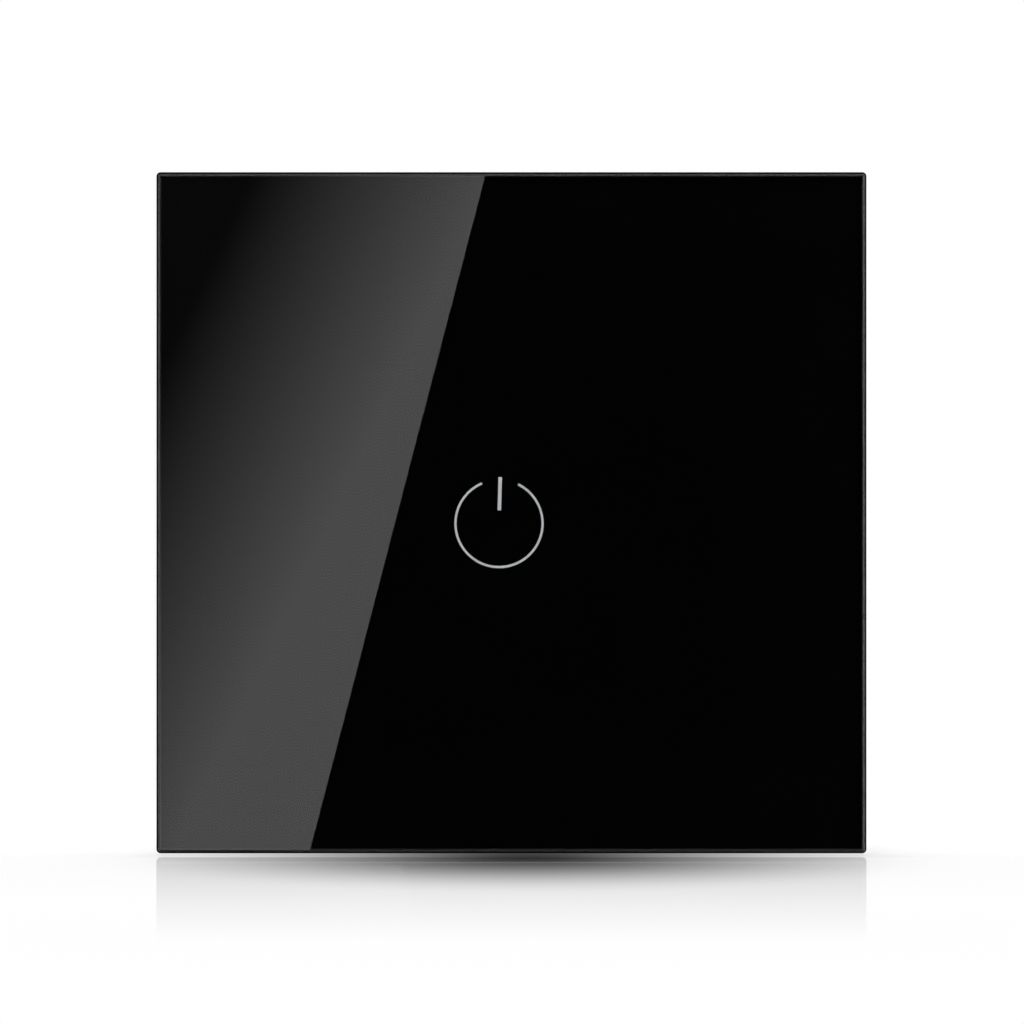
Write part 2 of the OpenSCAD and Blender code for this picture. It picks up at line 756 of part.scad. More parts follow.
module header_socket() {
    color([0.06, 0.06, 0.06]) difference() {
        at(header_x, header_z) block([header_w, header_t], y_socket, y_power_front);
        for (i = [0:pin_count - 1]) at(pin_x(i), header_z)
            block([1, 1] * (pin_w + 2 * screw_gap), y_socket - eps, y_socket + pin_reach + pin_end);
    }
}

module power_board() {
    low = power_board_low;
    color([0.1, 0.32, 0.16]) difference() {
        slab(y_power_front, y_power_back) intersection() {
            housing_octagon(-housing_wall - board_gap);
            translate([-housing_w / 2, low]) square([housing_w, housing_h]);
        }
        for (s = sides) at(s * power_post[0], power_post[1])
            rod(board_screw[0] + 2 * screw_gap, y_power_front - eps, y_power_back + eps);
    }
}

module power_board_screws() {
    color([0.55, 0.56, 0.58]) for (s = sides) at(s * power_post[0], power_post[1])
        pan_screw(board_screw, y_power_front - board_screw[2], power_board_t + board_standoff / 2);
}

// Relay, from the board towards the room
module relay_base() {
    color([0.12, 0.12, 0.13]) at(relay_x, relay_z) block([relay_w, relay_h], y_relay_base, y_power_front);
}

module relay_cover() {
    color([0.1, 0.2, 0.42]) at(relay_x, relay_z) difference() {
        block([relay_w, relay_h], y_relay_top, y_relay_base);
        block([relay_w, relay_h] - [2, 2] * relay_wall, y_relay_top + relay_wall, y_relay_base + eps);
    }
}

module relay_yoke() {
    color([0.62, 0.62, 0.64]) {
        at((yoke_leg_x + coil_x + pole_d / 2) / 2, relay_z)
            block([coil_x + pole_d / 2 - yoke_leg_x, yoke_w], y_yoke_foot, y_yoke_foot + yoke_t);
        at(yoke_leg_x + yoke_t / 2, relay_z) block([yoke_t, yoke_w], y_pole, y_yoke_foot + yoke_t);
        at(coil_x, relay_z) rod(core_d, y_pole + pole_t - eps, y_yoke_foot + eps);
        at(coil_x, relay_z) rod(pole_d, y_pole, y_pole + pole_t);
        for (s = sides) at(coil_x, relay_z + s * yoke_w / 3)
            block(yoke_peg, y_yoke_foot + yoke_t - eps, y_relay_base);
    }
}

module relay_bobbin() {
    y0 = y_pole + pole_t;
    color([0.85, 0.83, 0.75]) at(coil_x, relay_z) difference() {
        union() {
            rod(coil_d + 2 * flange_rim, y0, y0 + flange_t);
            rod(coil_d + 2 * flange_rim, y_yoke_foot - flange_t, y_yoke_foot);
            rod(core_d + 1.2, y0, y_yoke_foot);
        }
        rod(core_d + 2 * seat_gap, y0 - eps, y_yoke_foot + eps);
    }
}

module relay_winding() {
    color([0.72, 0.36, 0.16]) at(coil_x, relay_z) difference() {
        rod(coil_d, y_pole + pole_t + flange_t, y_yoke_foot - flange_t);
        rod(core_d + 1.2 + 2 * seat_gap, y_pole + pole_t, y_yoke_foot);
    }
}

// The armature rocks on the yoke's leg, on a round bead, and carries the moving contact past the coil
module relay_armature() {
    y_strip_back = y_armature - armature_t;
    y_strip_front = y_strip_back - contact_strip_t;
    color([0.66, 0.66, 0.68]) {
        at((yoke_leg_x + coil_x + pole_d / 2) / 2, relay_z)
            block([coil_x + pole_d / 2 - yoke_leg_x, yoke_w - 1], y_armature - armature_t, y_armature);
        translate([yoke_leg_x + yoke_t / 2, y_pole - seat_gap - pivot_r, relay_z - yoke_w / 3])
            cylinder(r = pivot_r, h = yoke_w * 2 / 3);
        at((coil_x + contact_x) / 2, relay_z)
            block([contact_x - coil_x, 1.5 * contact_d], y_strip_front, y_strip_back);
        at(contact_x, relay_z)
            rod(contact_d, y_strip_front - contact_t, y_strip_back + contact_t);
    }
}

// Fixed contacts: one behind the moving contact, one in front of it, on posts from the base
module relay_contacts() {
    y_back_contact = y_armature - armature_t + contact_t + contact_travel;
    y_back_strip = y_back_contact + contact_t;
    arm = contact_post_x + contact_strip_t - contact_x + contact_d / 2;
    arm_x = contact_post_x + contact_strip_t - arm / 2;
    post_x = contact_post_x + contact_strip_t / 2;
    low = [-contact_low, contact_d / 2];
    high = [-contact_d / 2, contact_high];
    color([0.8, 0.68, 0.42]) {
        at(post_x, relay_z + low[0] + contact_post_w / 2)
            block([contact_strip_t, contact_post_w], y_back_strip, y_relay_base);
        at(arm_x, relay_z + (low[0] + low[1]) / 2)
            block([arm, low[1] - low[0]], y_back_strip, y_back_strip + contact_strip_t);
        at(contact_x, relay_z) rod(contact_d, y_back_contact, y_back_strip + eps);
        at(post_x, relay_z + high[1] - contact_post_w / 2)
            block([contact_strip_t, contact_post_w], y_contact_strip, y_relay_base);
        at(arm_x, relay_z + (high[0] + high[1]) / 2)
            block([arm, high[1] - high[0]], y_contact_strip, y_contact_strip + contact_strip_t);
        at(contact_x, relay_z)
            rod(contact_d, y_contact_strip + contact_strip_t - eps, y_moving_contact - seat_gap);
    }
}

// Parts of the supply, each standing on the relay board
film_capacitor_place = [8, -1.5];
film_capacitor_size = [13, 5.5, 11];
bulk_capacitor_size = [8, 12];
bulk_capacitor_place = [-1, 1] * (boss_x - (boss_d / 2 + bulk_capacitor_size[0] / 2 + relay_gap) / sqrt(2));
choke_place = [-6, 0.6];
choke_size = [6.6, 8];
varistor_place = [-14.2, 0.6];
varistor_size = [7, 3.4];
varistor_stand = 1.6;
fuse_place = [-14, power_board_low + 4];
fuse_size = [3, 8.5];
rectifier_place = [-3.8, power_board_low + 4];
rectifier_size = [6.2, 4.4];
rectifier_t = 2.4;
lead_d = 0.7;

module film_capacitor() {
    color([0.85, 0.72, 0.15]) at(film_capacitor_place[0], film_capacitor_place[1])
        slab(y_power_front - film_capacitor_size[2], y_power_front)
            rounded(film_capacitor_size[0], film_capacitor_size[1], 0.6);
}

module bulk_capacitor() {
    d = bulk_capacitor_size[0];
    top = y_power_front - bulk_capacitor_size[1];
    groove = 0.5;
    color([0.12, 0.13, 0.2]) at(bulk_capacitor_place[0], bulk_capacitor_place[1]) {
        rod(d, top, y_power_front - 3 * groove);
        rod(d - 2 * groove, y_power_front - 3 * groove - eps, y_power_front - 2 * groove + eps);
        rod(d, y_power_front - 2 * groove, y_power_front);
    }
}

module choke() {
    d = choke_size[0];
    y0 = y_power_front - choke_size[1];
    rim = 1.2;
    color([0.2, 0.2, 0.21]) at(choke_place[0], choke_place[1]) {
        rod(d, y0, y0 + rim);
        rod(d - 1.4, y0 + rim - eps, y_power_front - rim + eps);
        rod(d, y_power_front - rim, y_power_front);
    }
}

module varistor() {
    d = varistor_size[0];
    y = y_power_front - varistor_stand - d / 2;
    color([0.1, 0.25, 0.5]) translate([varistor_place[0], 0, varistor_place[1]]) {
        translate([0, y, -varistor_size[1] / 2]) cylinder(d = d, h = varistor_size[1]);
        for (s = sides) at(s * d / 3, 0) rod(lead_d, y, y_power_front);
    }
}

module fuse() {
    y = y_power_front - fuse_size[0] / 2 - 0.6;
    color([0.78, 0.74, 0.66]) at(fuse_place[0], fuse_place[1]) {
        translate([-fuse_size[1] / 2, y, 0]) rotate([0, 90, 0])
            cylinder(d = fuse_size[0], h = fuse_size[1]);
        for (s = sides) at(s * (fuse_size[1] / 2 - lead_d), 0) rod(lead_d, y, y_power_front);
    }
}

module rectifier() {
    color([0.07, 0.07, 0.08]) at(rectifier_place[0], rectifier_place[1]) {
        block(rectifier_size, y_power_front - rectifier_t, y_power_front - 0.2);
        for (s = sides, i = sides) at(s * rectifier_size[0] / 3, i * rectifier_size[1] / 2)
            block([1, 1.6], y_power_front - 0.6, y_power_front);
    }
}

// Terminals: the screw turns against the bar and draws its cage along its thread
function terminal_x(i) = (i - 2) * terminal_pitch;

module terminal_bars() {
    low = terminal_z - cage_len / 2;
    high = power_board_low + bar_overlap;
    color([0.8, 0.65, 0.35]) for (i = [1:3]) at(terminal_x(i), (low + high) / 2)
        block([bar_w, high - low], y_power_back, y_bar_back);
}

module terminal_screw(i) {
    slot_cut = [0.8, 1];
    color([0.75, 0.75, 0.72]) at(terminal_x(i), terminal_z) difference() {
        union() {
            rod(screw_head_d, y_screw_head, y_screw_top);
            rod(screw_d, y_bar_back + seat_gap, y_screw_head + eps);
        }
        block([screw_head_d + eps, slot_cut[0]], y_screw_top - slot_cut[1], y_screw_top + eps);
        block([slot_cut[0], screw_head_d * 0.7], y_screw_top - slot_cut[1], y_screw_top + eps);
    }
}

module terminal_cage(i) {
    inner_w = cage_w - 2 * cage_wall;
    y_front = y_cage_floor - cage_floor_t;
    y_back = y_cage_nut + cage_nut_t;
    color([0.78, 0.72, 0.55]) at(terminal_x(i), terminal_z) difference() {
        block([cage_w, cage_len], y_front, y_back);
        block([inner_w, cage_len + eps], y_cage_floor, y_cage_nut);
        rod(screw_d + 2 * screw_gap, y_cage_nut - eps, y_back + eps);
    }
}

// Walls between the terminal bays, from the back of the housing to the cages' front
module bay_walls() {
    wall = terminal_pitch - cage_w - 2 * fit_gap;
    height = bay_top + housing_inner_h / 2;
    slab(y_bay_front, y_housing_inside + eps) intersection() {
        housing_octagon(-housing_wall / 2);
        for (i = [0:3])
            translate([(i - 1.5) * terminal_pitch - wall / 2, bay_top - height - eps])
                square([wall, height + eps]);
    }
}

module housing_shell() {
    difference() {
        hull() {
            slab(y_plate_front, housing_depth - housing_chamfer) housing_octagon();
            slab(y_plate_front, housing_depth) housing_octagon(-housing_chamfer);
        }
        slab(y_plate_front - eps, y_housing_inside) housing_octagon(-housing_wall);
    }
}

module rear_housing() {
    vent_pitch = 2.2 * vent_w;
    label = [24, 13];
    label_depth = 0.3;
    funnel = 0.5;
    color([0.86, 0.86, 0.84]) difference() {
        union() {
            housing_shell();
            intersection() {
                slab(y_plate_front, boss_len) housing_octagon(-housing_wall / 2);
                each_corner(boss_x, boss_x) rod(boss_d, y_plate_front, boss_len);
            }
            for (s = sides) at(s * power_post[0], power_post[1])
                rod(power_post_d, y_power_back, y_housing_inside + eps);
            bay_walls();
        }
        each_corner(boss_x, boss_x)
            rod(case_screw[0] + 2 * seat_gap, y_plate_front - eps, boss_len - thread_end);
        for (s = sides) at(s * power_post[0], power_post[1])
            rod(board_screw[0] + 2 * seat_gap, y_power_back - eps, y_housing_inside - housing_wall);
        for (i = [1:3]) at(terminal_x(i), terminal_z)
            rod(screw_head_d + 2 * fit_gap, y_housing_inside - eps, housing_depth + eps);
        for (i = [1:3]) translate([terminal_x(i), y_wire, -housing_h / 2]) {
            translate([0, 0, -eps]) cylinder(d = wire_hole_d, h = housing_wall + 2 * eps);
            translate([0, 0, -eps])
                cylinder(d1 = wire_hole_d + 2 * (funnel + eps), d2 = wire_hole_d, h = funnel + eps);
        }
        for (i = [0:vent_count - 1]) at((i - (vent_count - 1) / 2) * vent_pitch, housing_h / 2)
            block([vent_w, 4 * housing_wall], boss_len + 2, boss_len + 2 + vent_len);
        at(0, label[1] / 2) block(label, housing_depth - label_depth, housing_depth + eps);
    }
}

glass_panel();
print_film();
icon_inlay();
bonding_tape();
panel_frame();
panel_clips();
mounting_plate();
plate_screws();
chassis();
chassis_screws();
touch_board();
touch_board_screws();
touch_spring();
light_disc();
light_shroud();
status_leds();
touch_chip();
touch_board_parts();
header_pins();
header_strip();
header_socket();
power_board();
power_board_screws();
relay_base();
relay_cover();
relay_bobbin();
relay_winding();
relay_yoke();
relay_armature();
relay_contacts();
film_capacitor();
bulk_capacitor();
choke();
varistor();
fuse();
rectifier();
terminal_bars();
terminal_screw(1);  // terminal_screw_1
terminal_screw(2);  // terminal_screw_2
terminal_screw(3);  // terminal_screw_3
terminal_cage(1);  // terminal_cage_1
terminal_cage(2);  // terminal_cage_2
terminal_cage(3);  // terminal_cage_3
rear_housing();
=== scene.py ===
import math

import bmesh
import bpy
from mathutils import Matrix, Vector


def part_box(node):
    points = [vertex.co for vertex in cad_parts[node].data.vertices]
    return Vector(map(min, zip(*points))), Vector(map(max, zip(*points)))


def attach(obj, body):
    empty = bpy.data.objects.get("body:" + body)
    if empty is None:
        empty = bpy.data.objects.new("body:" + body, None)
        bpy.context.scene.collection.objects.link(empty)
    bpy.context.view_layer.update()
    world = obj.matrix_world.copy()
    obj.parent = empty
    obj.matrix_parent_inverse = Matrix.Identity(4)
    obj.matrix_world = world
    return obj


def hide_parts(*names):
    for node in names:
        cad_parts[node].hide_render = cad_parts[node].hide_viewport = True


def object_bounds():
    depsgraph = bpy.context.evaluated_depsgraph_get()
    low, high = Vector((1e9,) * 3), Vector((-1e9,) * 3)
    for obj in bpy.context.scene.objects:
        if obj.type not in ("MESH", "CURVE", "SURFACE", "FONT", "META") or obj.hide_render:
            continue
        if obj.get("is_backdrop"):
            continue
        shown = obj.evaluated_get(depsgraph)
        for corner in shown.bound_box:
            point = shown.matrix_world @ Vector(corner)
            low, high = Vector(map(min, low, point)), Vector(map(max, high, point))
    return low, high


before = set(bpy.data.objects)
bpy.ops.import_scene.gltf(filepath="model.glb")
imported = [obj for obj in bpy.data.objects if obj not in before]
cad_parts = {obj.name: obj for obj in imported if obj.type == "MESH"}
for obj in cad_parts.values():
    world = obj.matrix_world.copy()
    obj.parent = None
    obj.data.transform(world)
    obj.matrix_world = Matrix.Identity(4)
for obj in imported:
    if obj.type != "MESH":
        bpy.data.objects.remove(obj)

cad_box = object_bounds()

# Studio surround: plain white in every direction for the camera and for gloss and glass, and a
# weaker white for soft light, so that the lamps can shape the part.
mm = 0.001
scene = bpy.context.scene
scene.view_settings.view_transform = "Standard"
ambient = 0.16


def put(tree, kind, sockets=None, **settings):
    """Adds a shader node, with its settings, and its sockets linked or set."""
    made = tree.nodes.new("ShaderNode" + kind)
    for name, value in settings.items():
        setattr(made, name, value)
    for name, value in (sockets or {}).items():
        if isinstance(value, bpy.types.NodeSocket):
            tree.links.new(value, made.inputs[name])
        else:
            made.inputs[name].default_value = value
    return made


def maths(tree, operation, *values):
    """The result of a maths node on numbers or sockets."""
    return put(tree, "Math", dict(enumerate(values)), operation=operation).outputs[0]


def remap(tree, value, source=(0.0, 1.0), target=(0.0, 1.0), smooth=False):
    """A value taken from one range to another, and kept inside it."""
    limits = dict(zip(("From Min", "From Max", "To Min", "To Max"), (*source, *target)))
    curve = "SMOOTHSTEP" if smooth else "LINEAR"
    return put(tree, "MapRange", {"Value": value, **limits}, interpolation_type=curve).outputs[0]


surround = bpy.data.worlds.new("white_surround")
surround.use_nodes = True
scene.world = surround
tree = surround.node_tree
ray = put(tree, "LightPath").outputs
shown = maths(tree, "MAXIMUM", ray["Is Camera Ray"], ray["Is Glossy Ray"])
shown = maths(tree, "MAXIMUM", shown, ray["Is Transmission Ray"])
backdrop = tree.nodes["Background"].inputs
backdrop["Color"].default_value = (1, 1, 1, 1)
tree.links.new(remap(tree, shown, target=(ambient, 1.0)), backdrop["Strength"])

# Floor: a glossy white sheet a hair below the part. In front of the glass it mirrors the panel
# faintly, and a soft pool of painted shadow, darkest in its middle, lies in its colour before the panel's
# middle. From below it can't be seen.
part_front = cad_box[0].y
floor_gap = 0.24 * mm
floor_z = cad_box[0].z - floor_gap
floor_reach = 3.0
floor_glow, floor_white = 0.8, 0.194
plain_from, plain_to = 90 * mm, 230 * mm
mirror_share, mirror_reach = 0.32, 134 * mm
painted_shadow_middle = Vector((2.0 * mm, part_front, floor_z))
painted_shadow_width, painted_shadow_depth = 51 * mm, 66 * mm
painted_shadow_least = 0.05


def vector_maths(tree, operation, *values):
    """The result of a vector maths node: a number for a length or a dot product."""
    made = put(tree, "VectorMath", dict(enumerate(values)), operation=operation)
    return made.outputs["Value" if operation in ("LENGTH", "DOT_PRODUCT") else "Vector"]


def stage_sheet(name, material, *corners):
    """A flat sheet of the studio, from its corners in order."""
    shape = bmesh.new()
    shape.faces.new([shape.verts.new(corner) for corner in corners])
    mesh = bpy.data.meshes.new(name)
    shape.to_mesh(mesh)
    shape.free()
    mesh.materials.append(material)
    sheet = bpy.data.objects.new(name, mesh)
    scene.collection.objects.link(sheet)
    sheet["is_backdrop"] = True
    return sheet


def blank_material(name):
    """A material with nothing in it but its output."""
    material = bpy.data.materials.new(name)
    material.use_nodes = True
    nodes = material.node_tree.nodes
    nodes.remove(nodes["Principled BSDF"])
    return material, material.node_tree, nodes["Material Output"]


floor_material, tree, output = blank_material("floor_sheet")
place = put(tree, "TexCoord").outputs["Object"]
ahead = put(tree, "SeparateXYZ", {0: place}).outputs["Y"]
mirror = remap(tree, ahead, (part_front, part_front - mirror_reach), (mirror_share, 0.0))
mirror = maths(tree, "MULTIPLY", mirror, maths(tree, "LESS_THAN", ahead, part_front))
# Painted shadow: a soft ellipse before the panel's middle dims the floor's glow and white, whatever the lamps
# do.
painted_shadow = vector_maths(tree, "SUBTRACT", place, painted_shadow_middle)
painted_shadow = vector_maths(tree, "MULTIPLY", painted_shadow, (1 / painted_shadow_width, 1 / painted_shadow_depth, 0))
painted_shadow = remap(tree, vector_maths(tree, "LENGTH", painted_shadow), target=(painted_shadow_least, 1.0), smooth=True)
away = vector_maths(tree, "LENGTH", place)
plain = remap(tree, away, (plain_from, plain_to), smooth=True)
glow = maths(tree, "MULTIPLY", painted_shadow, remap(tree, plain, target=(floor_glow, 1.0)))
glow = put(tree, "Emission", {"Color": (1, 1, 1, 1), "Strength": glow})
white = maths(tree, "MULTIPLY", painted_shadow, remap(tree, plain, target=(floor_white, 0.0)))
white = put(tree, "BsdfDiffuse", {"Color": white})
sheet = put(tree, "AddShader", {0: glow.outputs[0], 1: white.outputs[0]})
gloss = put(tree, "BsdfGlossy", {"Color": (1, 1, 1, 1), "Roughness": 0.0})
sheet = put(tree, "MixShader", {0: mirror, 1: sheet.outputs[0], 2: gloss.outputs[0]})
under = put(tree, "NewGeometry").outputs["Backfacing"]
clear = put(tree, "BsdfTransparent", {"Color": (1, 1, 1, 1)})
sheet = put(tree, "MixShader", {0: under, 1: sheet.outputs[0], 2: clear.outputs[0]})
tree.links.new(sheet.outputs[0], output.inputs["Surface"])
floor = stage_sheet("floor", floor_material,
                    (-floor_reach, -floor_reach, floor_z), (floor_reach, -floor_reach, floor_z),
                    (floor_reach, floor_reach, floor_z), (-floor_reach, floor_reach, floor_z))
floor.visible_glossy = floor.visible_transmission = False

# Lamps: soft panels all round the part, and one over the floor, above and behind the part, that
# throws its shadow forward. Each lamp lights either the part or the floor.
only_floor = bpy.data.collections.new("only_floor")
only_floor.objects.link(floor)
all_but_floor = bpy.data.collections.new("all_but_floor")
all_but_floor.objects.link(floor)
all_but_floor.collection_objects[0].light_linking.link_state = "EXCLUDE"


def lamp(name, place, size, watts, receivers):
    """A soft rectangular lamp, turned to the part."""
    light = bpy.data.lights.new(name, "AREA")
    light.shape = "RECTANGLE"
    light.size, light.size_y = size
    light.energy = watts
    made = bpy.data.objects.new(name, light)
    made.location = place
    made.rotation_euler = (-Vector(place)).to_track_quat("-Z", "Y").to_euler()
    made.visible_camera = False
    made.light_linking.receiver_collection = receivers
    scene.collection.objects.link(made)
    return made


over_floor = lamp("over_floor", (0, 0.46, 1.0), (1.6, 0.95), 19.0, only_floor)
over_floor.rotation_euler = (0, 0, 0)
over_floor.visible_glossy = False
for name, place, side, watts in (("front_left", (-0.75, -0.85, 0.55), 1.0, 8.8),
                                 ("front_right", (0.95, -0.6, 0.25), 0.9, 5.8),
                                 ("back_left", (-0.8, 0.8, 0.45), 1.2, 4.2),
                                 ("back_right", (0.85, 0.75, 0.35), 1.1, 3.2),
                                 ("overhead", (0, 0.1, 1.2), 1.2, 4.8)):
    lamp(name, place, (side, side), watts, all_but_floor)

# Camera: a long lens straight at the front, far off, so that the panel stays square. It stands a
# hair off the panel's middle, as in the photograph.
eye = Vector((0.07, -695.4, 0.09)) * mm
lens = bpy.data.cameras.new("camera")
lens.lens, lens.sensor_width = 200, 36
lens.clip_start, lens.clip_end = 0.01, 20
camera = bpy.data.objects.new("camera", lens)
camera.location = eye
camera.rotation_euler = (math.pi / 2, 0, 0)
scene.collection.objects.link(camera)
scene.camera = camera

# Cards seen only in gloss and through glass: a black one behind the camera that keeps the pane dark,
# a lit one before it with a slanted edge, dimmer towards its upper left, and four beside the panel
# that show in its ground edges.
glass_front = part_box("glass_panel")[0].y
card_y = -742 * mm
dark_w, dark_h = 110, 105
flag_away, flag_long = 200 * mm, 80 * mm
flag_front, flag_back = -40 * mm, 35 * mm
band_y = card_y + 4 * mm
band_left, band_h = -47, 41.6
band_top, band_low = -2.9, -24.5
band_least, band_glow, band_bend = 0.04, 1.55, 1.3
slope = Vector((0.904, 0, -0.427))
slope_places, slope_z = (-50.7, -21.4), 0.05


def card_point(x, z, y):
    """Where a card at depth y shows at a place on the glass, given in millimetres."""
    reach = 1 + (glass_front - y) / (glass_front - eye.y)
    return (eye.x + (x * mm - eye.x) * reach, y, eye.z + (z * mm - eye.z) * reach)


def card(name, glow, in_gloss, through_glass, *corners):
    """A sheet that is seen only in gloss or through glass, and its glow's tree and socket."""
    material, tree, output = blank_material(name)
    light = put(tree, "Emission", {"Color": (1, 1, 1, 1), "Strength": glow})
    tree.links.new(light.outputs[0], output.inputs["Surface"])
    made = stage_sheet(name, material, *corners)
    made.visible_camera = made.visible_diffuse = False
    made.visible_shadow = made.visible_volume_scatter = False
    made.visible_glossy, made.visible_transmission = in_gloss, through_glass
    return tree, light.inputs["Strength"]


card("dark_card", 0.0, True, False, *(card_point(x, z, card_y) for x, z in (
    (-dark_w, -dark_h), (dark_w, -dark_h), (dark_w, dark_h), (-dark_w, dark_h))))
for name, axis, sign, glow, in_gloss in (("left_flag", 0, -1, 0.75, False),
                                         ("right_flag", 0, 1, 1.6, True),
                                         ("top_flag", 2, 1, 0.95, True),
                                         ("low_flag", 2, -1, 0.4, True)):
    corners = []
    for end, y in ((-1, flag_front), (1, flag_front), (1, flag_back), (-1, flag_back)):
        corner = [end * flag_long, y, end * flag_long]
        corner[axis] = sign * flag_away
        corners.append(corner)
    card(name, glow, in_gloss, True, *corners)
tree, strength = card("slanted_card", band_glow, True, False, *(card_point(x, z, band_y) for x, z in (
    (band_left, -band_h), (band_low, -band_h), (band_top, band_h), (band_left, band_h))))
slope_range = [Vector(card_point(x, slope_z, band_y)).dot(slope) for x in slope_places]
along = vector_maths(tree, "DOT_PRODUCT", put(tree, "TexCoord").outputs["Object"], slope)
along = maths(tree, "POWER", remap(tree, along, slope_range), band_bend)
tree.links.new(remap(tree, along, target=(band_least, band_glow)), strength)

# Far screen in front of the part, seen only in gloss from other sides: dark, with slanted lit
# strips that brighten towards one sharp edge, like the one in the photograph.
screen_y, screen_half, screen_low, screen_top = -1.6, 3.4, -2.1, 0.22
strip_pitch, strip_share, strip_lean, strip_shift = 0.5, 0.5, 0.26, 0.63
strip_glow = 1.3
tree, strength = card("far_screen", strip_glow, True, False,
                      (-screen_half, screen_y, screen_low), (screen_half, screen_y, screen_low),
                      (screen_half, screen_y, screen_top), (-screen_half, screen_y, screen_top))
across_strips = Vector((1, 0, -strip_lean)) / strip_pitch
along = vector_maths(tree, "DOT_PRODUCT", put(tree, "TexCoord").outputs["Object"], across_strips)
along = maths(tree, "FRACT", maths(tree, "ADD", along, strip_shift / strip_pitch))
lit = maths(tree, "LESS_THAN", along, strip_share)
rise = remap(tree, along, (0.0, strip_share), (band_least, strip_glow), smooth=True)
tree.links.new(maths(tree, "MULTIPLY", rise, lit), strength)

# Rear housing: the box that goes into the wall, moulded in pale grey plastic with a fine spark
# finish. Its corners are slightly round from the mould, and its label field is bare.
weld = 0.001 * mm
flat_angle, sharp_angle = math.radians(0.4), math.radians(30)
cloud_scale, cloud_range = 120.0, (0.3, 0.7)


def group(name, inputs, outputs):
    """An empty node group with float sockets, and the sockets of its first and last nodes."""
    made = bpy.data.node_groups.new(name, "ShaderNodeTree")
    for socket, value in inputs.items():
        entry = made.interface.new_socket(socket, in_out="INPUT", socket_type="NodeSocketFloat")
        entry.default_value = value
    for socket in outputs:
        made.interface.new_socket(socket, in_out="OUTPUT", socket_type="NodeSocketFloat")
    return made, made.nodes.new("NodeGroupInput").outputs, made.nodes.new("NodeGroupOutput").inputs


def noise(tree, place, scale, detail, roughness=0.5):
    """Noise at a place, about one half."""
    sockets = {"Vector": place, "Scale": scale, "Detail": detail, "Roughness": roughness}
    return put(tree, "TexNoise", sockets).outputs[0]


def mix_colours(tree, share, first, second):
    """A mix of two colours."""
    return put(tree, "Mix", {0: share, 6: first, 7: second}, data_type="RGBA").outputs[2]


def principled(name):
    """A new material, its node tree, and the inputs of its Principled node."""
    material = bpy.data.materials.new(name)
    material.use_nodes = True
    return material, material.node_tree, material.node_tree.nodes["Principled BSDF"].inputs


def dress(tree, face, colour, rough, height, depth):
    """Links a colour, a roughness, and a bump with a depth in millimetres."""
    bump = put(tree, "Bump", {"Height": height, "Distance": depth * mm}).outputs[0]
    for socket, source in (("Base Color", colour), ("Roughness", rough), ("Normal", bump)):
        tree.links.new(source, face[socket])


moulded_skin, skin_in, skin_out = group("moulded_skin", {"Grain": 5000.0}, ["Height", "Mottle"])
place = put(moulded_skin, "TexCoord").outputs["Object"]
grain = noise(moulded_skin, place, skin_in["Grain"], detail=3.0, roughness=0.55)
clouds = noise(moulded_skin, place, cloud_scale, detail=4.0, roughness=0.6)
moulded_skin.links.new(grain, skin_out["Height"])
moulded_skin.links.new(remap(moulded_skin, clouds, cloud_range), skin_out["Mottle"])


def moulded(name, pale, dark, rough, grain=5000.0, depth=0.006, plain=None):
    """Moulded plastic: two near colours in clouds, a fine grain, and plain values by socket."""
    material, tree, face = principled(name)
    skin = put(tree, "Group", {"Grain": grain}, node_tree=moulded_skin).outputs
    colour = mix_colours(tree, skin["Mottle"], (*pale, 1), (*dark, 1))
    dress(tree, face, colour, remap(tree, skin["Mottle"], target=rough), skin["Height"], depth)
    for socket, value in (plain or {}).items():
        face[socket].default_value = value
    return material


def round_edges(shape, radius, steps=2, clamp=False):
    """Rounds a shape's sharp edges by a radius in millimetres."""
    edges = [e for e in shape.edges if e.is_manifold and e.calc_face_angle() > sharp_angle]
    bmesh.ops.bevel(shape, geom=edges, offset=radius * mm, offset_type="OFFSET", affect="EDGES",
                    segments=steps, profile=0.5, material=-1, clamp_overlap=clamp)


def cad_shape(node, soften=0.0, steps=2, clamp=True):
    """A node's solid with its triangles joined into faces, and its sharp edges softened."""
    shape = bmesh.new()
    shape.from_mesh(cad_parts[node].data)
    bmesh.ops.remove_doubles(shape, verts=shape.verts[:], dist=weld)
    bmesh.ops.dissolve_limit(shape, angle_limit=flat_angle, use_dissolve_boundaries=False,
                             verts=shape.verts[:], edges=shape.edges[:], delimit=set())
    if soften:
        round_edges(shape, soften, steps, clamp)
    return shape


def make_piece(name, shape, material, body, slot, *nodes, smooth=35):
    """Turns a shape into a piece of the part that rides on a body and stands for CAD nodes."""
    mesh = bpy.data.meshes.new(name)
    shape.to_mesh(mesh)
    shape.free()
    mesh.materials.append(material)
    mesh.polygons.foreach_set("use_smooth", [True] * len(mesh.polygons))
    mesh.set_sharp_from_angle(angle=math.radians(smooth))
    piece = bpy.data.objects.new(name, mesh)
    scene.collection.objects.link(piece)
    even = piece.modifiers.new("even_normals", "WEIGHTED_NORMAL")
    even.keep_sharp = True
    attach(piece, body)
    if nodes:
        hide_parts(*nodes)
    return piece


def cad_piece(name, node, material, body, slot, soften=0.0, steps=2, clamp=True):
    """A piece in the shape of one node's own solid, with its sharp edges softened."""
    return make_piece(name, cad_shape(node, soften, steps, clamp), material, body, slot, node)


grey_plastic = moulded("housing_grey", (0.70, 0.70, 0.68), (0.675, 0.675, 0.655), (0.42, 0.50))
cad_piece("housing_moulding", "rear_housing", grey_plastic, "base", "grey_plastic", soften=0.15)

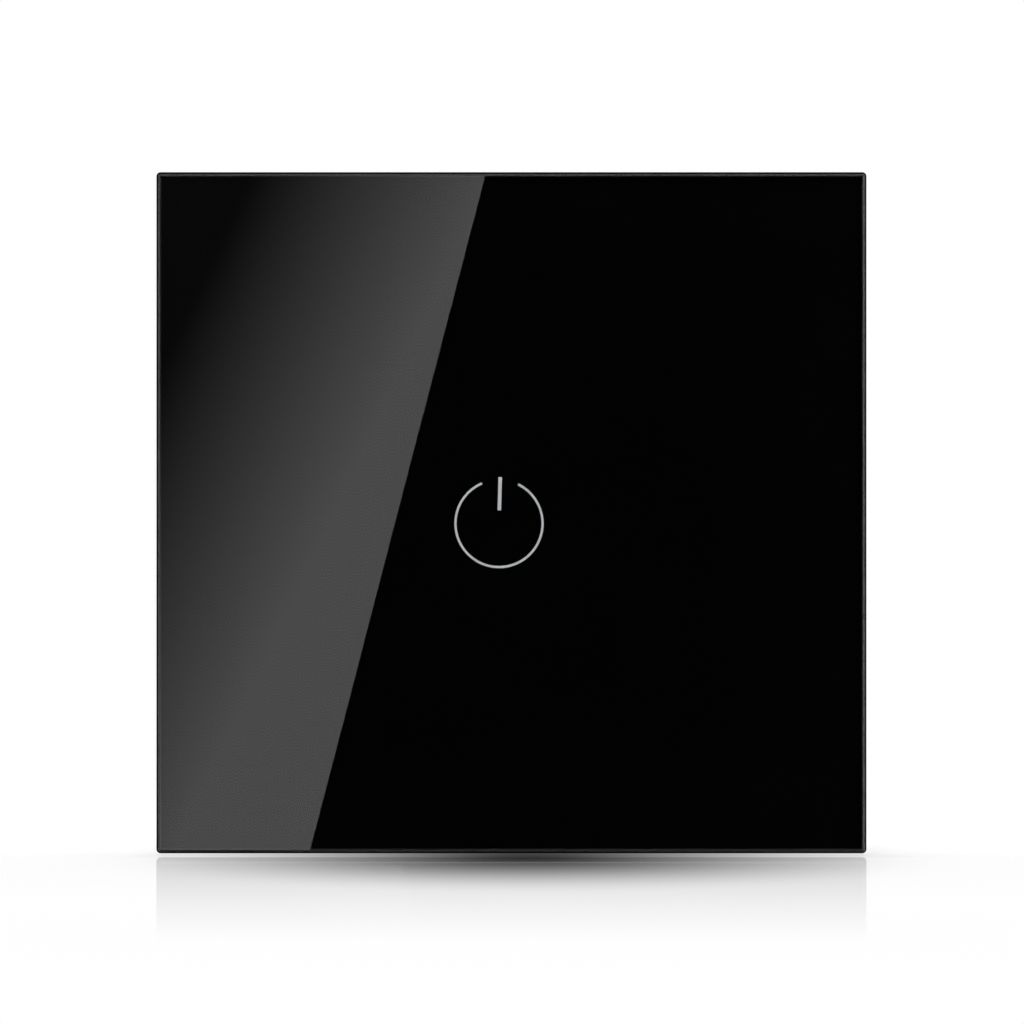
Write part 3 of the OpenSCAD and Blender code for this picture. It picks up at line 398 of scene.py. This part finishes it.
# Terminals: brass bars under the relay board, and three rising cages, each drawn along a plated
# screw that is turned from the back of the housing.
tarnish_scale, tarnish_range, streak_range = 260.0, (0.32, 0.68), (0.3, 0.7)
lengthwise = (300.0, 300.0, 6000.0)
ways = ("Across X", "Across Y", "Across Z")
rolled_metal, roll_in, roll_out = group("rolled_metal", dict(zip(ways, lengthwise)), ["Streak", "Cloud"])
place = put(rolled_metal, "TexCoord").outputs["Object"]
scales = put(rolled_metal, "CombineXYZ", {i: roll_in[way] for i, way in enumerate(ways)}).outputs[0]
drawn = vector_maths(rolled_metal, "MULTIPLY", place, scales)
streak = noise(rolled_metal, drawn, 1.0, detail=4.0, roughness=0.6)
cloud = noise(rolled_metal, place, tarnish_scale, detail=5.0)
rolled_metal.links.new(streak, roll_out["Streak"])
rolled_metal.links.new(remap(rolled_metal, cloud, tarnish_range), roll_out["Cloud"])


def metal(name, bright, dull, rough, across=lengthwise, depth=0.003):
    """Rolled or turned metal: fine streaks along the work, and a cloudy tarnish."""
    material, tree, face = principled(name)
    face["Metallic"].default_value = 1.0
    skin = put(tree, "Group", dict(zip(ways, across)), node_tree=rolled_metal).outputs
    colour = mix_colours(tree, skin["Cloud"], (*bright, 1), (*dull, 1))
    shine = remap(tree, skin["Streak"], streak_range, rough)
    dress(tree, face, colour, shine, skin["Streak"], depth)
    return material


brass = metal("bar_brass", (0.78, 0.60, 0.30), (0.66, 0.49, 0.24), (0.28, 0.44))
zinc = metal("zinc_plate", (0.49, 0.50, 0.515), (0.42, 0.43, 0.445), (0.34, 0.48))
cad_piece("terminal_bar_set", "terminal_bars", brass, "base", "terminal_brass", soften=0.1)
for k in ("1", "2", "3"):
    cad_piece("rising_cage_" + k, "terminal_cage_" + k, brass, "cage_" + k, "terminal_brass", soften=0.12)
    cad_piece("clamp_screw_" + k, "terminal_screw_" + k, zinc, "screw_" + k, "zinc_steel", soften=0.1)

# Relay board: glass-fibre board with a green solder mask over its copper tracks. Its cut edges
# show the pale fibre. Two screws hold it on the housing's posts.
mask, over_copper, tinned = (0.02, 0.13, 0.055, 1), (0.045, 0.22, 0.10, 1), (0.62, 0.62, 0.6, 1)
mask_rough, etch_depth = (0.34, 0.26), 0.02
track_pitch, line_share = 0.9 * mm, 0.16
patch_scale, hole_scale, hole_size = 190.0, 240.0, 0.09
edge_on = 0.5


def paint(piece, material, chosen):
    """Gives a second material to the faces whose centre and normal are chosen."""
    piece.data.materials.append(material)
    last = len(piece.data.materials) - 1
    for face in piece.data.polygons:
        if chosen(face.center, face.normal):
            face.material_index = last


def cut_edge(centre, normal):
    """Whether a face is on the cut edge of a board."""
    return abs(normal.y) < edge_on


mask_green, tree, face = principled("mask_green")
flat = vector_maths(tree, "MULTIPLY", put(tree, "TexCoord").outputs["Object"], (1, 0, 1))
beside = put(tree, "SeparateXYZ", {0: flat}).outputs
patch = put(tree, "TexVoronoi", {"Vector": flat, "Scale": patch_scale, "Randomness": 0.7},
            distance="CHEBYCHEV")
patch = put(tree, "SeparateColor", {0: patch.outputs["Color"]}).outputs[0]
lines = []
for axis, chance, sense in (("X", 0.62, "GREATER_THAN"), ("Z", 0.42, "LESS_THAN")):
    wave = maths(tree, "PINGPONG", beside[axis], track_pitch / 2)
    line = maths(tree, "LESS_THAN", wave, track_pitch * line_share)
    lines.append(maths(tree, "MULTIPLY", line, maths(tree, sense, patch, chance)))
track = maths(tree, "MAXIMUM", *lines)
hole = put(tree, "TexVoronoi", {"Vector": flat, "Scale": hole_scale}).outputs["Distance"]
pad = maths(tree, "LESS_THAN", hole, hole_size)
colour = mix_colours(tree, pad, mix_colours(tree, track, mask, over_copper), tinned)
shine = remap(tree, track, target=mask_rough)
dress(tree, face, colour, shine, maths(tree, "MAXIMUM", track, pad), etch_depth)
tree.links.new(pad, face["Metallic"])
fibre_edge = moulded("fibre_edge", (0.42, 0.42, 0.26), (0.34, 0.33, 0.19), (0.6, 0.7), grain=9000.0)
screw_steel = metal("bright_screw", (0.50, 0.50, 0.515), (0.40, 0.40, 0.415), (0.28, 0.42),
                    across=(2500.0, 2500.0, 2500.0))
paint(cad_piece("relay_board", "power_board", mask_green, "base", "board"), fibre_edge, cut_edge)
cad_piece("relay_board_screws", "power_board_screws", screw_steel, "base", "screw_steel", soften=0.08)

# Relay: a blue moulded cover on a black base, with a copper coil on a pale bobbin, an iron yoke
# and rocking armature, and brass contacts.
relay_wire_r, relay_turns = 2.15 * mm, 26
rib_depth, rib_steps, wound_steps = 0.35, 6, 48
black_moulding = moulded("black_moulding", (0.030, 0.030, 0.033), (0.020, 0.020, 0.022), (0.40, 0.52),
                         grain=7000.0)
blue_cover = moulded("blue_cover", (0.035, 0.13, 0.38), (0.028, 0.10, 0.31), (0.25, 0.34),
                     grain=7000.0, depth=0.003)
pale_moulding = moulded("pale_moulding", (0.82, 0.82, 0.79), (0.74, 0.74, 0.70), (0.38, 0.48),
                        grain=7000.0)
soft_iron = metal("annealed_iron", (0.52, 0.52, 0.54), (0.40, 0.40, 0.41), (0.30, 0.48))
copper_wire = metal("copper_wire", (0.74, 0.33, 0.14), (0.58, 0.24, 0.10), (0.22, 0.36),
                    across=(900.0, 14000.0, 900.0))
cad_piece("relay_foot", "relay_base", black_moulding, "base", "chip_black", soften=0.2)
cad_piece("relay_hood", "relay_cover", blue_cover, "base", "relay_plastic", soften=0.25, steps=3)
cad_piece("coil_bobbin", "relay_bobbin", pale_moulding, "base", "white_plastic", soften=0.08)
cad_piece("coil_yoke", "relay_yoke", soft_iron, "base", "soft_iron", soften=0.06, clamp=False)
cad_piece("rocking_armature", "relay_armature", soft_iron, "armature", "soft_iron", soften=0.06)
cad_piece("fixed_contacts", "relay_contacts", brass, "base", "terminal_brass", soften=0.06, clamp=False)


def wound(lowest, highest, inner, turns):
    """A coil's wire as one closed ring, with a rounded rib for each turn."""
    shape = bmesh.new()
    centre = (lowest + highest) / 2
    outer = (highest.x - lowest.x) / 2
    pitch = (highest.y - lowest.y) / turns
    groove = pitch * rib_depth
    rim = [(inner, lowest.y)]
    for turn in range(turns):
        for step in range(rib_steps):
            swell = math.sin(math.pi * step / rib_steps)
            rim.append((outer - groove * (1 - swell), lowest.y + pitch * (turn + step / rib_steps)))
    rim += [(outer - groove, highest.y), (inner, highest.y)]
    line = [shape.verts.new((centre.x + r, y, centre.z)) for r, y in rim]
    edges = [shape.edges.new(pair) for pair in zip(line, line[1:] + line[:1])]
    bmesh.ops.spin(shape, geom=line + edges, cent=centre, axis=(0, 1, 0), angle=2 * math.pi,
                   steps=wound_steps, use_merge=True)
    bmesh.ops.remove_doubles(shape, verts=shape.verts[:], dist=weld)
    bmesh.ops.recalc_face_normals(shape, faces=shape.faces[:])
    return shape


make_piece("coil_winding", wound(*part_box("relay_winding"), relay_wire_r, relay_turns), copper_wire,
           "base", "copper", "relay_winding")

# Supply parts on the relay board: a boxed film capacitor, a sleeved capacitor with a bare metal
# top, a wound choke, a dipped varistor, a ceramic fuse and a rectifier block.
can_rim, can_dip, can_top_depth = 0.6 * mm, 0.12 * mm, 0.2 * mm
level, nearly_level = 0.99, 0.9
choke_waist, choke_wire_r, choke_turns = Vector((0.75, 1.35, 0.75)) * mm, 2.65 * mm, 14
disc_sides, disc_round, disc_steps = 48, 1.3, 5
lead_r, lead_sides, lead_share = 0.35 * mm, 16, 2 / 3
block_half, block_foot = 2.2 * mm, 0.1 * mm
yellow_box = moulded("yellow_box", (0.80, 0.57, 0.05), (0.72, 0.50, 0.04), (0.28, 0.36),
                     grain=4000.0, depth=0.003)
dark_sleeve = moulded("dark_sleeve", (0.028, 0.035, 0.11), (0.02, 0.026, 0.085), (0.24, 0.32),
                      grain=2500.0, depth=0.002)
bare_can = metal("bare_can", (0.78, 0.78, 0.79), (0.68, 0.68, 0.70), (0.22, 0.34),
                 across=(2500.0, 2500.0, 2500.0))
ferrite = moulded("pressed_ferrite", (0.075, 0.075, 0.08), (0.05, 0.05, 0.055), (0.5, 0.62),
                  grain=9000.0, depth=0.004)
blue_dip = moulded("blue_dip", (0.045, 0.19, 0.48), (0.035, 0.15, 0.40), (0.22, 0.34),
                   grain=1500.0, depth=0.01)
fired_clay = moulded("fired_clay", (0.74, 0.69, 0.58), (0.66, 0.60, 0.50), (0.5, 0.62), grain=6000.0)
tin = metal("tin", (0.74, 0.74, 0.73), (0.60, 0.60, 0.60), (0.26, 0.40), across=(1800.0, 1800.0, 1800.0))


def upright_cone(shape, place, ends, radii, sides):
    """A cone or rod along the depth at an (x, z) place, between two depths, with a radius at each."""
    middle = Matrix.Translation((place[0], sum(ends) / 2, place[1]))
    upright = Matrix.Rotation(-math.pi / 2, 4, "X")
    bmesh.ops.create_cone(shape, cap_ends=True, segments=sides, radius1=radii[0], radius2=radii[1],
                          depth=ends[1] - ends[0], matrix=middle @ upright)


cad_piece("film_capacitor_box", "film_capacitor", yellow_box, "base", "capacitor_yellow",
          soften=0.35, steps=3)
shape = cad_shape("bulk_capacitor", soften=0.3, steps=3)
top = [face for face in shape.faces if face.normal.y < -level]
bmesh.ops.inset_region(shape, faces=top, thickness=can_rim, depth=-can_dip)
can_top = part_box("bulk_capacitor")[0].y + can_top_depth
can = make_piece("sleeved_capacitor", shape, dark_sleeve, "base", "capacitor_sleeve", "bulk_capacitor")
paint(can, bare_can, lambda centre, normal: normal.y < -nearly_level and centre.y < can_top)
cad_piece("choke_core", "choke", ferrite, "base", "ferrite", soften=0.15)
lowest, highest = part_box("choke")
shape = wound(lowest + choke_waist, highest - choke_waist, choke_wire_r, choke_turns)
make_piece("choke_winding", shape, copper_wire, "base", "copper")
lowest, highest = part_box("varistor")
radius = (highest.x - lowest.x) / 2
shape = bmesh.new()
bmesh.ops.create_cone(shape, cap_ends=True, segments=disc_sides, radius1=radius, radius2=radius,
                      depth=highest.z - lowest.z)
round_edges(shape, disc_round, disc_steps)
disc = Vector(((lowest.x + highest.x) / 2, lowest.y + radius, (lowest.z + highest.z) / 2))
bmesh.ops.translate(shape, verts=shape.verts[:], vec=disc)
make_piece("dipped_varistor", shape, blue_dip, "base", "varistor_blue", "varistor")
shape = bmesh.new()
for side in (-1, 1):
    lead = (disc.x + side * radius * lead_share, disc.z)
    upright_cone(shape, lead, (disc.y, highest.y), (lead_r, lead_r), lead_sides)
make_piece("varistor_leads", shape, tin, "base", "varistor_blue")
cad_piece("ceramic_fuse", "fuse", fired_clay, "base", "fuse_body", soften=0.15)
lowest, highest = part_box("rectifier")
block_mid, feet = (lowest.z + highest.z) / 2, highest.y - block_foot
block = cad_piece("rectifier_block", "rectifier", black_moulding, "base", "chip_black",
                  soften=0.06, clamp=False)
paint(block, tin, lambda centre, normal: abs(centre.z - block_mid) > block_half or centre.y > feet)

# Plug between the boards: gilt pins in a black strip on the touch board, going down into a black
# socket on the relay board.
gilt = metal("gilt", (0.83, 0.64, 0.26), (0.74, 0.55, 0.20), (0.20, 0.32), across=(900.0, 900.0, 900.0))
cad_piece("plug_socket", "header_socket", black_moulding, "base", "chip_black", soften=0.1)
cad_piece("plug_strip", "header_strip", black_moulding, "base", "chip_black", soften=0.1)
cad_piece("plug_pins", "header_pins", gilt, "base", "gold_pins", soften=0.12)

# Solder on the back of the relay board: a small cone of tin round the end of each part's leads,
# with the cut lead standing out of it. The brass bars cover the rest.
joint_r, joint_high = 0.9 * mm, 0.7 * mm
stub_r, stub_high = 0.33 * mm, 1.19 * mm
joint_sides, bar_room = 20, 1 * mm
pin_pitch = 2.54
part_leads = (
    ("relay_base", ((-7.6, -3.7), (-7.6, 3.7), (0, 3.7), (7.6, -3.7), (7.6, 3.7))),
    ("film_capacitor", ((-5, 0), (5, 0))),
    ("bulk_capacitor", ((-1.25, -1.25), (1.25, 1.25))),
    ("choke", ((0, -2.5), (0, 2.5))),
    ("varistor", ((-2.33, 0), (2.33, 0))),
    ("fuse", ((-3.55, 0), (3.55, 0))),
    ("header_socket", tuple((pin_pitch * pin, 0) for pin in (-2, -1, 0, 1, 2))))


def solid_boxes(node):
    """The lowest and highest corners of a node's separate solids."""
    shape = cad_shape(node)
    left, boxes = set(shape.verts), []
    while left:
        todo = [left.pop()]
        found = list(todo)
        while todo:
            for edge in todo.pop().link_edges:
                fresh = left.intersection(edge.verts)
                left -= fresh
                todo += fresh
                found += fresh
        places = [[vert.co[axis] for vert in found] for axis in range(3)]
        boxes.append((Vector(map(min, places)), Vector(map(max, places))))
    shape.free()
    return sorted(boxes, key=lambda box: tuple(box[0]))


bars = solid_boxes("terminal_bars")


def under_a_bar(x, z):
    """Whether the end of a lead is hidden by one of the brass bars."""
    return any(low.x - bar_room < x < high.x + bar_room and z < high.z + bar_room for low, high in bars)


board_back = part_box("power_board")[1].y
shape = bmesh.new()
for node, leads in part_leads:
    centre = sum(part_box(node), Vector()) / 2
    for across, up in leads:
        x, z = centre.x + across * mm, centre.z + up * mm
        if not under_a_bar(x, z):
            upright_cone(shape, (x, z), (board_back, board_back + joint_high), (joint_r, stub_r), joint_sides)
            upright_cone(shape, (x, z), (board_back, board_back + stub_high), (stub_r, stub_r), joint_sides)
make_piece("board_solder", shape, tin, "base", "zinc_steel")

# Chassis: pale grey moulding that carries the touch board in its tub. Four screws draw the housing
# to it through its corners.
cad_piece("chassis_moulding", "chassis", grey_plastic, "base", "grey_plastic", soften=0.15)
cad_piece("case_screws", "chassis_screws", screw_steel, "base", "screw_steel", soften=0.1)

# Touch board: the same green board, with the touch chip, small resistors and capacitors, two
# lamps under the icon, and solder at the plug's pins.
chip_half, gel_depth = 1.97 * mm, 0.39 * mm
cap, cap_slack, body_dip = 0.4 * mm, 1.01, 0.06 * mm
small_round, box_room = 0.06, 0.1 * mm
pin_joint_r, pin_tip_r, pin_joint_high, pin_joint_sides = 0.95 * mm, 0.42 * mm, 0.5 * mm, 24
tan_ceramic = moulded("tan_ceramic", (0.58, 0.47, 0.33), (0.50, 0.40, 0.27), (0.42, 0.52), grain=9000.0)
lamp_body = moulded("lamp_body", (0.86, 0.86, 0.82), (0.80, 0.80, 0.75), (0.35, 0.45), grain=9000.0)
lamp_gel = moulded("lamp_gel", (0.85, 0.66, 0.16), (0.78, 0.58, 0.12), (0.25, 0.35), grain=4000.0)
paint(cad_piece("front_board", "touch_board", mask_green, "base", "board"), fibre_edge, cut_edge)
cad_piece("front_board_screws", "touch_board_screws", screw_steel, "base", "screw_steel", soften=0.08)
lowest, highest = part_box("touch_chip")
chip_mid = (lowest.x + highest.x) / 2
chip = cad_piece("touch_controller", "touch_chip", black_moulding, "base", "chip_black",
                 soften=0.06, clamp=False)
paint(chip, tin, lambda centre, normal: abs(centre.x - chip_mid) > chip_half)
part_boxes = solid_boxes("touch_board_parts")


def long_axis(size):
    """Which way a small part lies on the board: 0 for across, 2 for up."""
    return 0 if size.x > size.z else 2


def at_an_end(centre, normal):
    """Whether a face belongs to a tinned end of one of the small parts."""
    for lowest, highest in part_boxes:
        if all(lowest[axis] - box_room < centre[axis] < highest[axis] + box_room for axis in (0, 2)):
            long = long_axis(highest - lowest)
            half = (highest[long] - lowest[long]) / 2
            return abs(centre[long] - lowest[long] - half) > half - cap * cap_slack
    return False


shape = bmesh.new()
for lowest, highest in part_boxes:
    size = highest - lowest
    long = long_axis(size)
    for shift in (-1, 0, 1):
        spot, block = (lowest + highest) / 2, size.copy()
        block[long] = cap if shift else size[long] - 2 * cap
        spot[long] += shift * (size[long] - cap) / 2
        if not shift:
            block.y -= body_dip
            spot.y += body_dip / 2
        bmesh.ops.create_cube(shape, size=1, matrix=Matrix.LocRotScale(spot, None, block))
round_edges(shape, small_round)
parts = make_piece("small_parts", shape, tan_ceramic, "base", "chip_tan", "touch_board_parts")
paint(parts, tin, at_an_end)
gel_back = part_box("status_leds")[0].y + gel_depth
leds = cad_piece("icon_lamps", "status_leds", lamp_body, "base", "led_body", soften=0.06, clamp=False)
paint(leds, lamp_gel, lambda centre, normal: centre.y < gel_back)
board_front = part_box("touch_board")[0].y
shape = bmesh.new()
for lowest, highest in solid_boxes("header_pins"):
    pin = ((lowest.x + highest.x) / 2, (lowest.z + highest.z) / 2)
    upright_cone(shape, pin, (board_front - pin_joint_high, board_front), (pin_tip_r, pin_joint_r),
                 pin_joint_sides)
round_edges(shape, small_round)
make_piece("pin_solder", shape, tin, "base", "gold_pins")

# Touch spring and icon light: a plated wire spring stands on the board round a white tube, which
# holds the milky disc that lights the icon.
wire_r, wire_sides, foot_high = 0.3 * mm, 12, 0.9 * mm
rise_turns, flat_turns, turn_steps = 2.8, 0.2, 40
spring_wire = metal("spring_wire", (0.76, 0.76, 0.75), (0.64, 0.64, 0.64), (0.18, 0.30),
                    across=(1500.0, 1500.0, 1500.0))
milky = moulded("milky_disc", (0.84, 0.86, 0.88), (0.80, 0.82, 0.84), (0.30, 0.38),
                grain=3000.0, depth=0.002,
                plain={"Subsurface Weight": 0.4, "Subsurface Scale": 0.8 * mm})
lowest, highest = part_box("touch_spring")
centre = (lowest + highest) / 2
spring_r = (highest.x - lowest.x) / 2 - wire_r
first, last = board_front - foot_high, lowest.y + wire_r
start = Vector((centre.x + spring_r, first, centre.z))
shape = bmesh.new()
ring = bmesh.ops.create_circle(shape, segments=wire_sides, radius=wire_r,
                               matrix=Matrix.Translation(start))["verts"]
steps = round(rise_turns * turn_steps)
turned = bmesh.ops.spin(shape, geom=ring + shape.edges[:], cent=centre, axis=(0, -1, 0), steps=steps,
                        dvec=(0, (last - first) / steps, 0), angle=2 * math.pi * rise_turns)["geom_last"]
bmesh.ops.spin(shape, geom=turned, cent=centre, axis=(0, -1, 0), angle=2 * math.pi * flat_turns,
               steps=round(flat_turns * turn_steps))
bmesh.ops.holes_fill(shape, edges=shape.edges[:], sides=wire_sides)
upright_cone(shape, (start.x, start.z), (first - wire_r / 2, board_front + wire_r / 2),
             (wire_r, wire_r), wire_sides)
bmesh.ops.recalc_face_normals(shape, faces=shape.faces[:])
make_piece("touch_coil", shape, spring_wire, "base", "spring_steel", "touch_spring", smooth=50)
cad_piece("light_tube", "light_shroud", pale_moulding, "base", "white_plastic", soften=0.12)
cad_piece("light_guide", "light_disc", milky, "base", "diffuser", soften=0.1)

# Mounting plate: zinc-plated steel with slots for the box screws, held to the chassis from behind
# by four countersunk screws.
cad_piece("wall_plate", "mounting_plate", zinc, "base", "zinc_steel", soften=0.06, clamp=False)
cad_piece("flat_screws", "plate_screws", screw_steel, "base", "screw_steel", soften=0.06)

# Panel frame: black moulding behind the glass, with a skirt that hides the plate, and painted shade on its
# front rim. Four bent spring clips are staked to it, and a band of foam tape bonds it to the glass.
rim_depth = 0.12 * mm
black_frame = moulded("black_frame", (0.022, 0.022, 0.023), (0.016, 0.016, 0.017), (0.42, 0.55),
                      grain=4500.0, depth=0.008)
# Painted shade: a darker, nearly unshiny copy of the black moulding, for the frame's front rim round the
# glass.
painted_dark_rim = moulded("painted_dark_rim", (0.0048, 0.0048, 0.005), (0.0034, 0.0034, 0.0036), (0.5, 0.6),
                    grain=4500.0, depth=0.008, plain={"Specular IOR Level": 0.03})
clip_steel = metal("clip_steel", (0.54, 0.55, 0.56), (0.45, 0.46, 0.47), (0.26, 0.34),
                   across=(600.0, 600.0, 3000.0), depth=0.001)
foam = moulded("white_foam", (0.76, 0.76, 0.73), (0.66, 0.66, 0.63), (0.75, 0.9),
               grain=2600.0, depth=0.05)
rim_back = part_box("panel_frame")[0].y + rim_depth
moulding = cad_piece("frame_moulding", "panel_frame", black_frame, "panel", "black_plastic", soften=0.1)
# The front faces take the darker copy: painted shade on the rim.
paint(moulding, painted_dark_rim, lambda centre, normal: centre.y < rim_back)
cad_piece("spring_clips", "panel_clips", clip_steel, "panel", "spring_steel", soften=0.06)
cad_piece("tape_band", "bonding_tape", foam, "panel", "foam_tape", soften=0.1)

# Print: black film bonded to the back of the glass, with the power symbol left open and filled with
# light grey ink. The film's face reaches a hair into the glass, and the ink stops short of it.
hair = 0.01 * mm
no_shine = {"Specular IOR Level": 0.0}
film_black = moulded("film_black", (0.0015, 0.0015, 0.0017), (0.0012, 0.0012, 0.0013), (0.5, 0.6),
                     grain=3000.0, depth=0.001, plain=no_shine)
film_back = moulded("film_back", (0.014, 0.014, 0.015), (0.010, 0.010, 0.011), (0.4, 0.5),
                    grain=3000.0, depth=0.002)
ink_grey = moulded("ink_grey", (0.797, 0.745, 0.787), (0.74, 0.692, 0.731), (0.5, 0.6),
                   grain=8000.0, depth=0.001, plain=no_shine)


def sheet_front(node, shift):
    """A node's thin sheet, with its front face moved by a hair or less."""
    shape = cad_shape(node)
    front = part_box(node)[0].y
    for vert in shape.verts:
        if vert.co.y < front + hair:
            vert.co.y += shift
    return shape


film = make_piece("black_print", sheet_front("print_film", -hair), film_black, "panel", "black_film",
                  "print_film")
paint(film, film_back, lambda centre, normal: normal.y > edge_on)
make_piece("power_symbol", sheet_front("icon_inlay", hair / 2), ink_grey, "panel", "icon_ink", "icon_inlay")

# Glass: a toughened pane with a faint green in its depth, polished on its face and satin on its ground
# edges, with a narrow chamfer and a few tiny chips. The black print behind it makes it black, and
# runs over its back chamfer.
glass_colour, glass_ior = (0.97, 0.985, 0.98, 1), 1.52
glass_tint, tint_density = (0.62, 0.78, 0.72, 1), 36.0
smear_scale, smear_range, smear_rough = 60.0, (0.45, 0.8), (0.0, 0.006)
wheel_scale, wheel_range, wheel_rough = 1400.0, (0.3, 0.7), (0.28, 0.32)
chip_scale, chip_size, chip_rarity = 420.0, (0.05, 0.11), 0.86
chamfer_rough, chip_rough = 0.05, 0.55
edge_hair = 0.004 * mm
back_chamfer = (0.3, 0.99)


def mix_values(tree, share, first, second):
    """A mix of two numbers."""
    return put(tree, "Mix", {0: share, 2: first, 3: second}, data_type="FLOAT").outputs[0]


lowest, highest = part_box("glass_panel")
corners = [vert.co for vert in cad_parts["glass_panel"].data.vertices]
chamfer = highest.x - max(corner.x for corner in corners if corner.y < lowest.y + hair)
face_half = (highest - lowest) / 2 - Vector((chamfer, 0, chamfer))
pane, tree, face = principled("clear_glass")
face["Base Color"].default_value = glass_colour
face["Transmission Weight"].default_value = 1.0
face["IOR"].default_value = glass_ior
place = put(tree, "TexCoord").outputs["Object"]
smear = remap(tree, noise(tree, place, smear_scale, detail=6.0, roughness=0.7), smear_range, smear_rough)
over = vector_maths(tree, "ABSOLUTE", vector_maths(tree, "SUBTRACT", place, (lowest + highest) / 2))
over = put(tree, "SeparateXYZ", {0: vector_maths(tree, "SUBTRACT", over, face_half)}).outputs
over = maths(tree, "MAXIMUM", over["X"], over["Z"])
ground = maths(tree, "GREATER_THAN", over, edge_hair)
wall = maths(tree, "GREATER_THAN", over, chamfer - edge_hair)
cell = put(tree, "TexVoronoi", {"Vector": place, "Scale": chip_scale}).outputs
chosen = put(tree, "SeparateColor", {0: cell["Color"]}).outputs[0]
chips = remap(tree, cell["Distance"], chip_size, (1.0, 0.0))
chips = maths(tree, "MULTIPLY", chips, maths(tree, "GREATER_THAN", chosen, chip_rarity))
wheel = remap(tree, noise(tree, place, wheel_scale, detail=3.0), wheel_range, wheel_rough)
worn = mix_values(tree, chips, mix_values(tree, wall, chamfer_rough, wheel), chip_rough)
tree.links.new(mix_values(tree, ground, smear, worn), face["Roughness"])
tint = put(tree, "VolumeAbsorption", {"Color": glass_tint, "Density": tint_density})
tree.links.new(tint.outputs[0], tree.nodes["Material Output"].inputs["Volume"])
glass = make_piece("glass_pane", cad_shape("glass_panel"), pane, "panel", "panel_glass", "glass_panel",
                   smooth=20)
paint(glass, film_back, lambda centre, normal: back_chamfer[0] < normal.y < back_chamfer[1])

# Sizes: the part's box from the solids, before any piece was dressed, and the dressed part's own.
size = [[list(corner) for corner in cad_box], [list(corner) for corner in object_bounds()]]
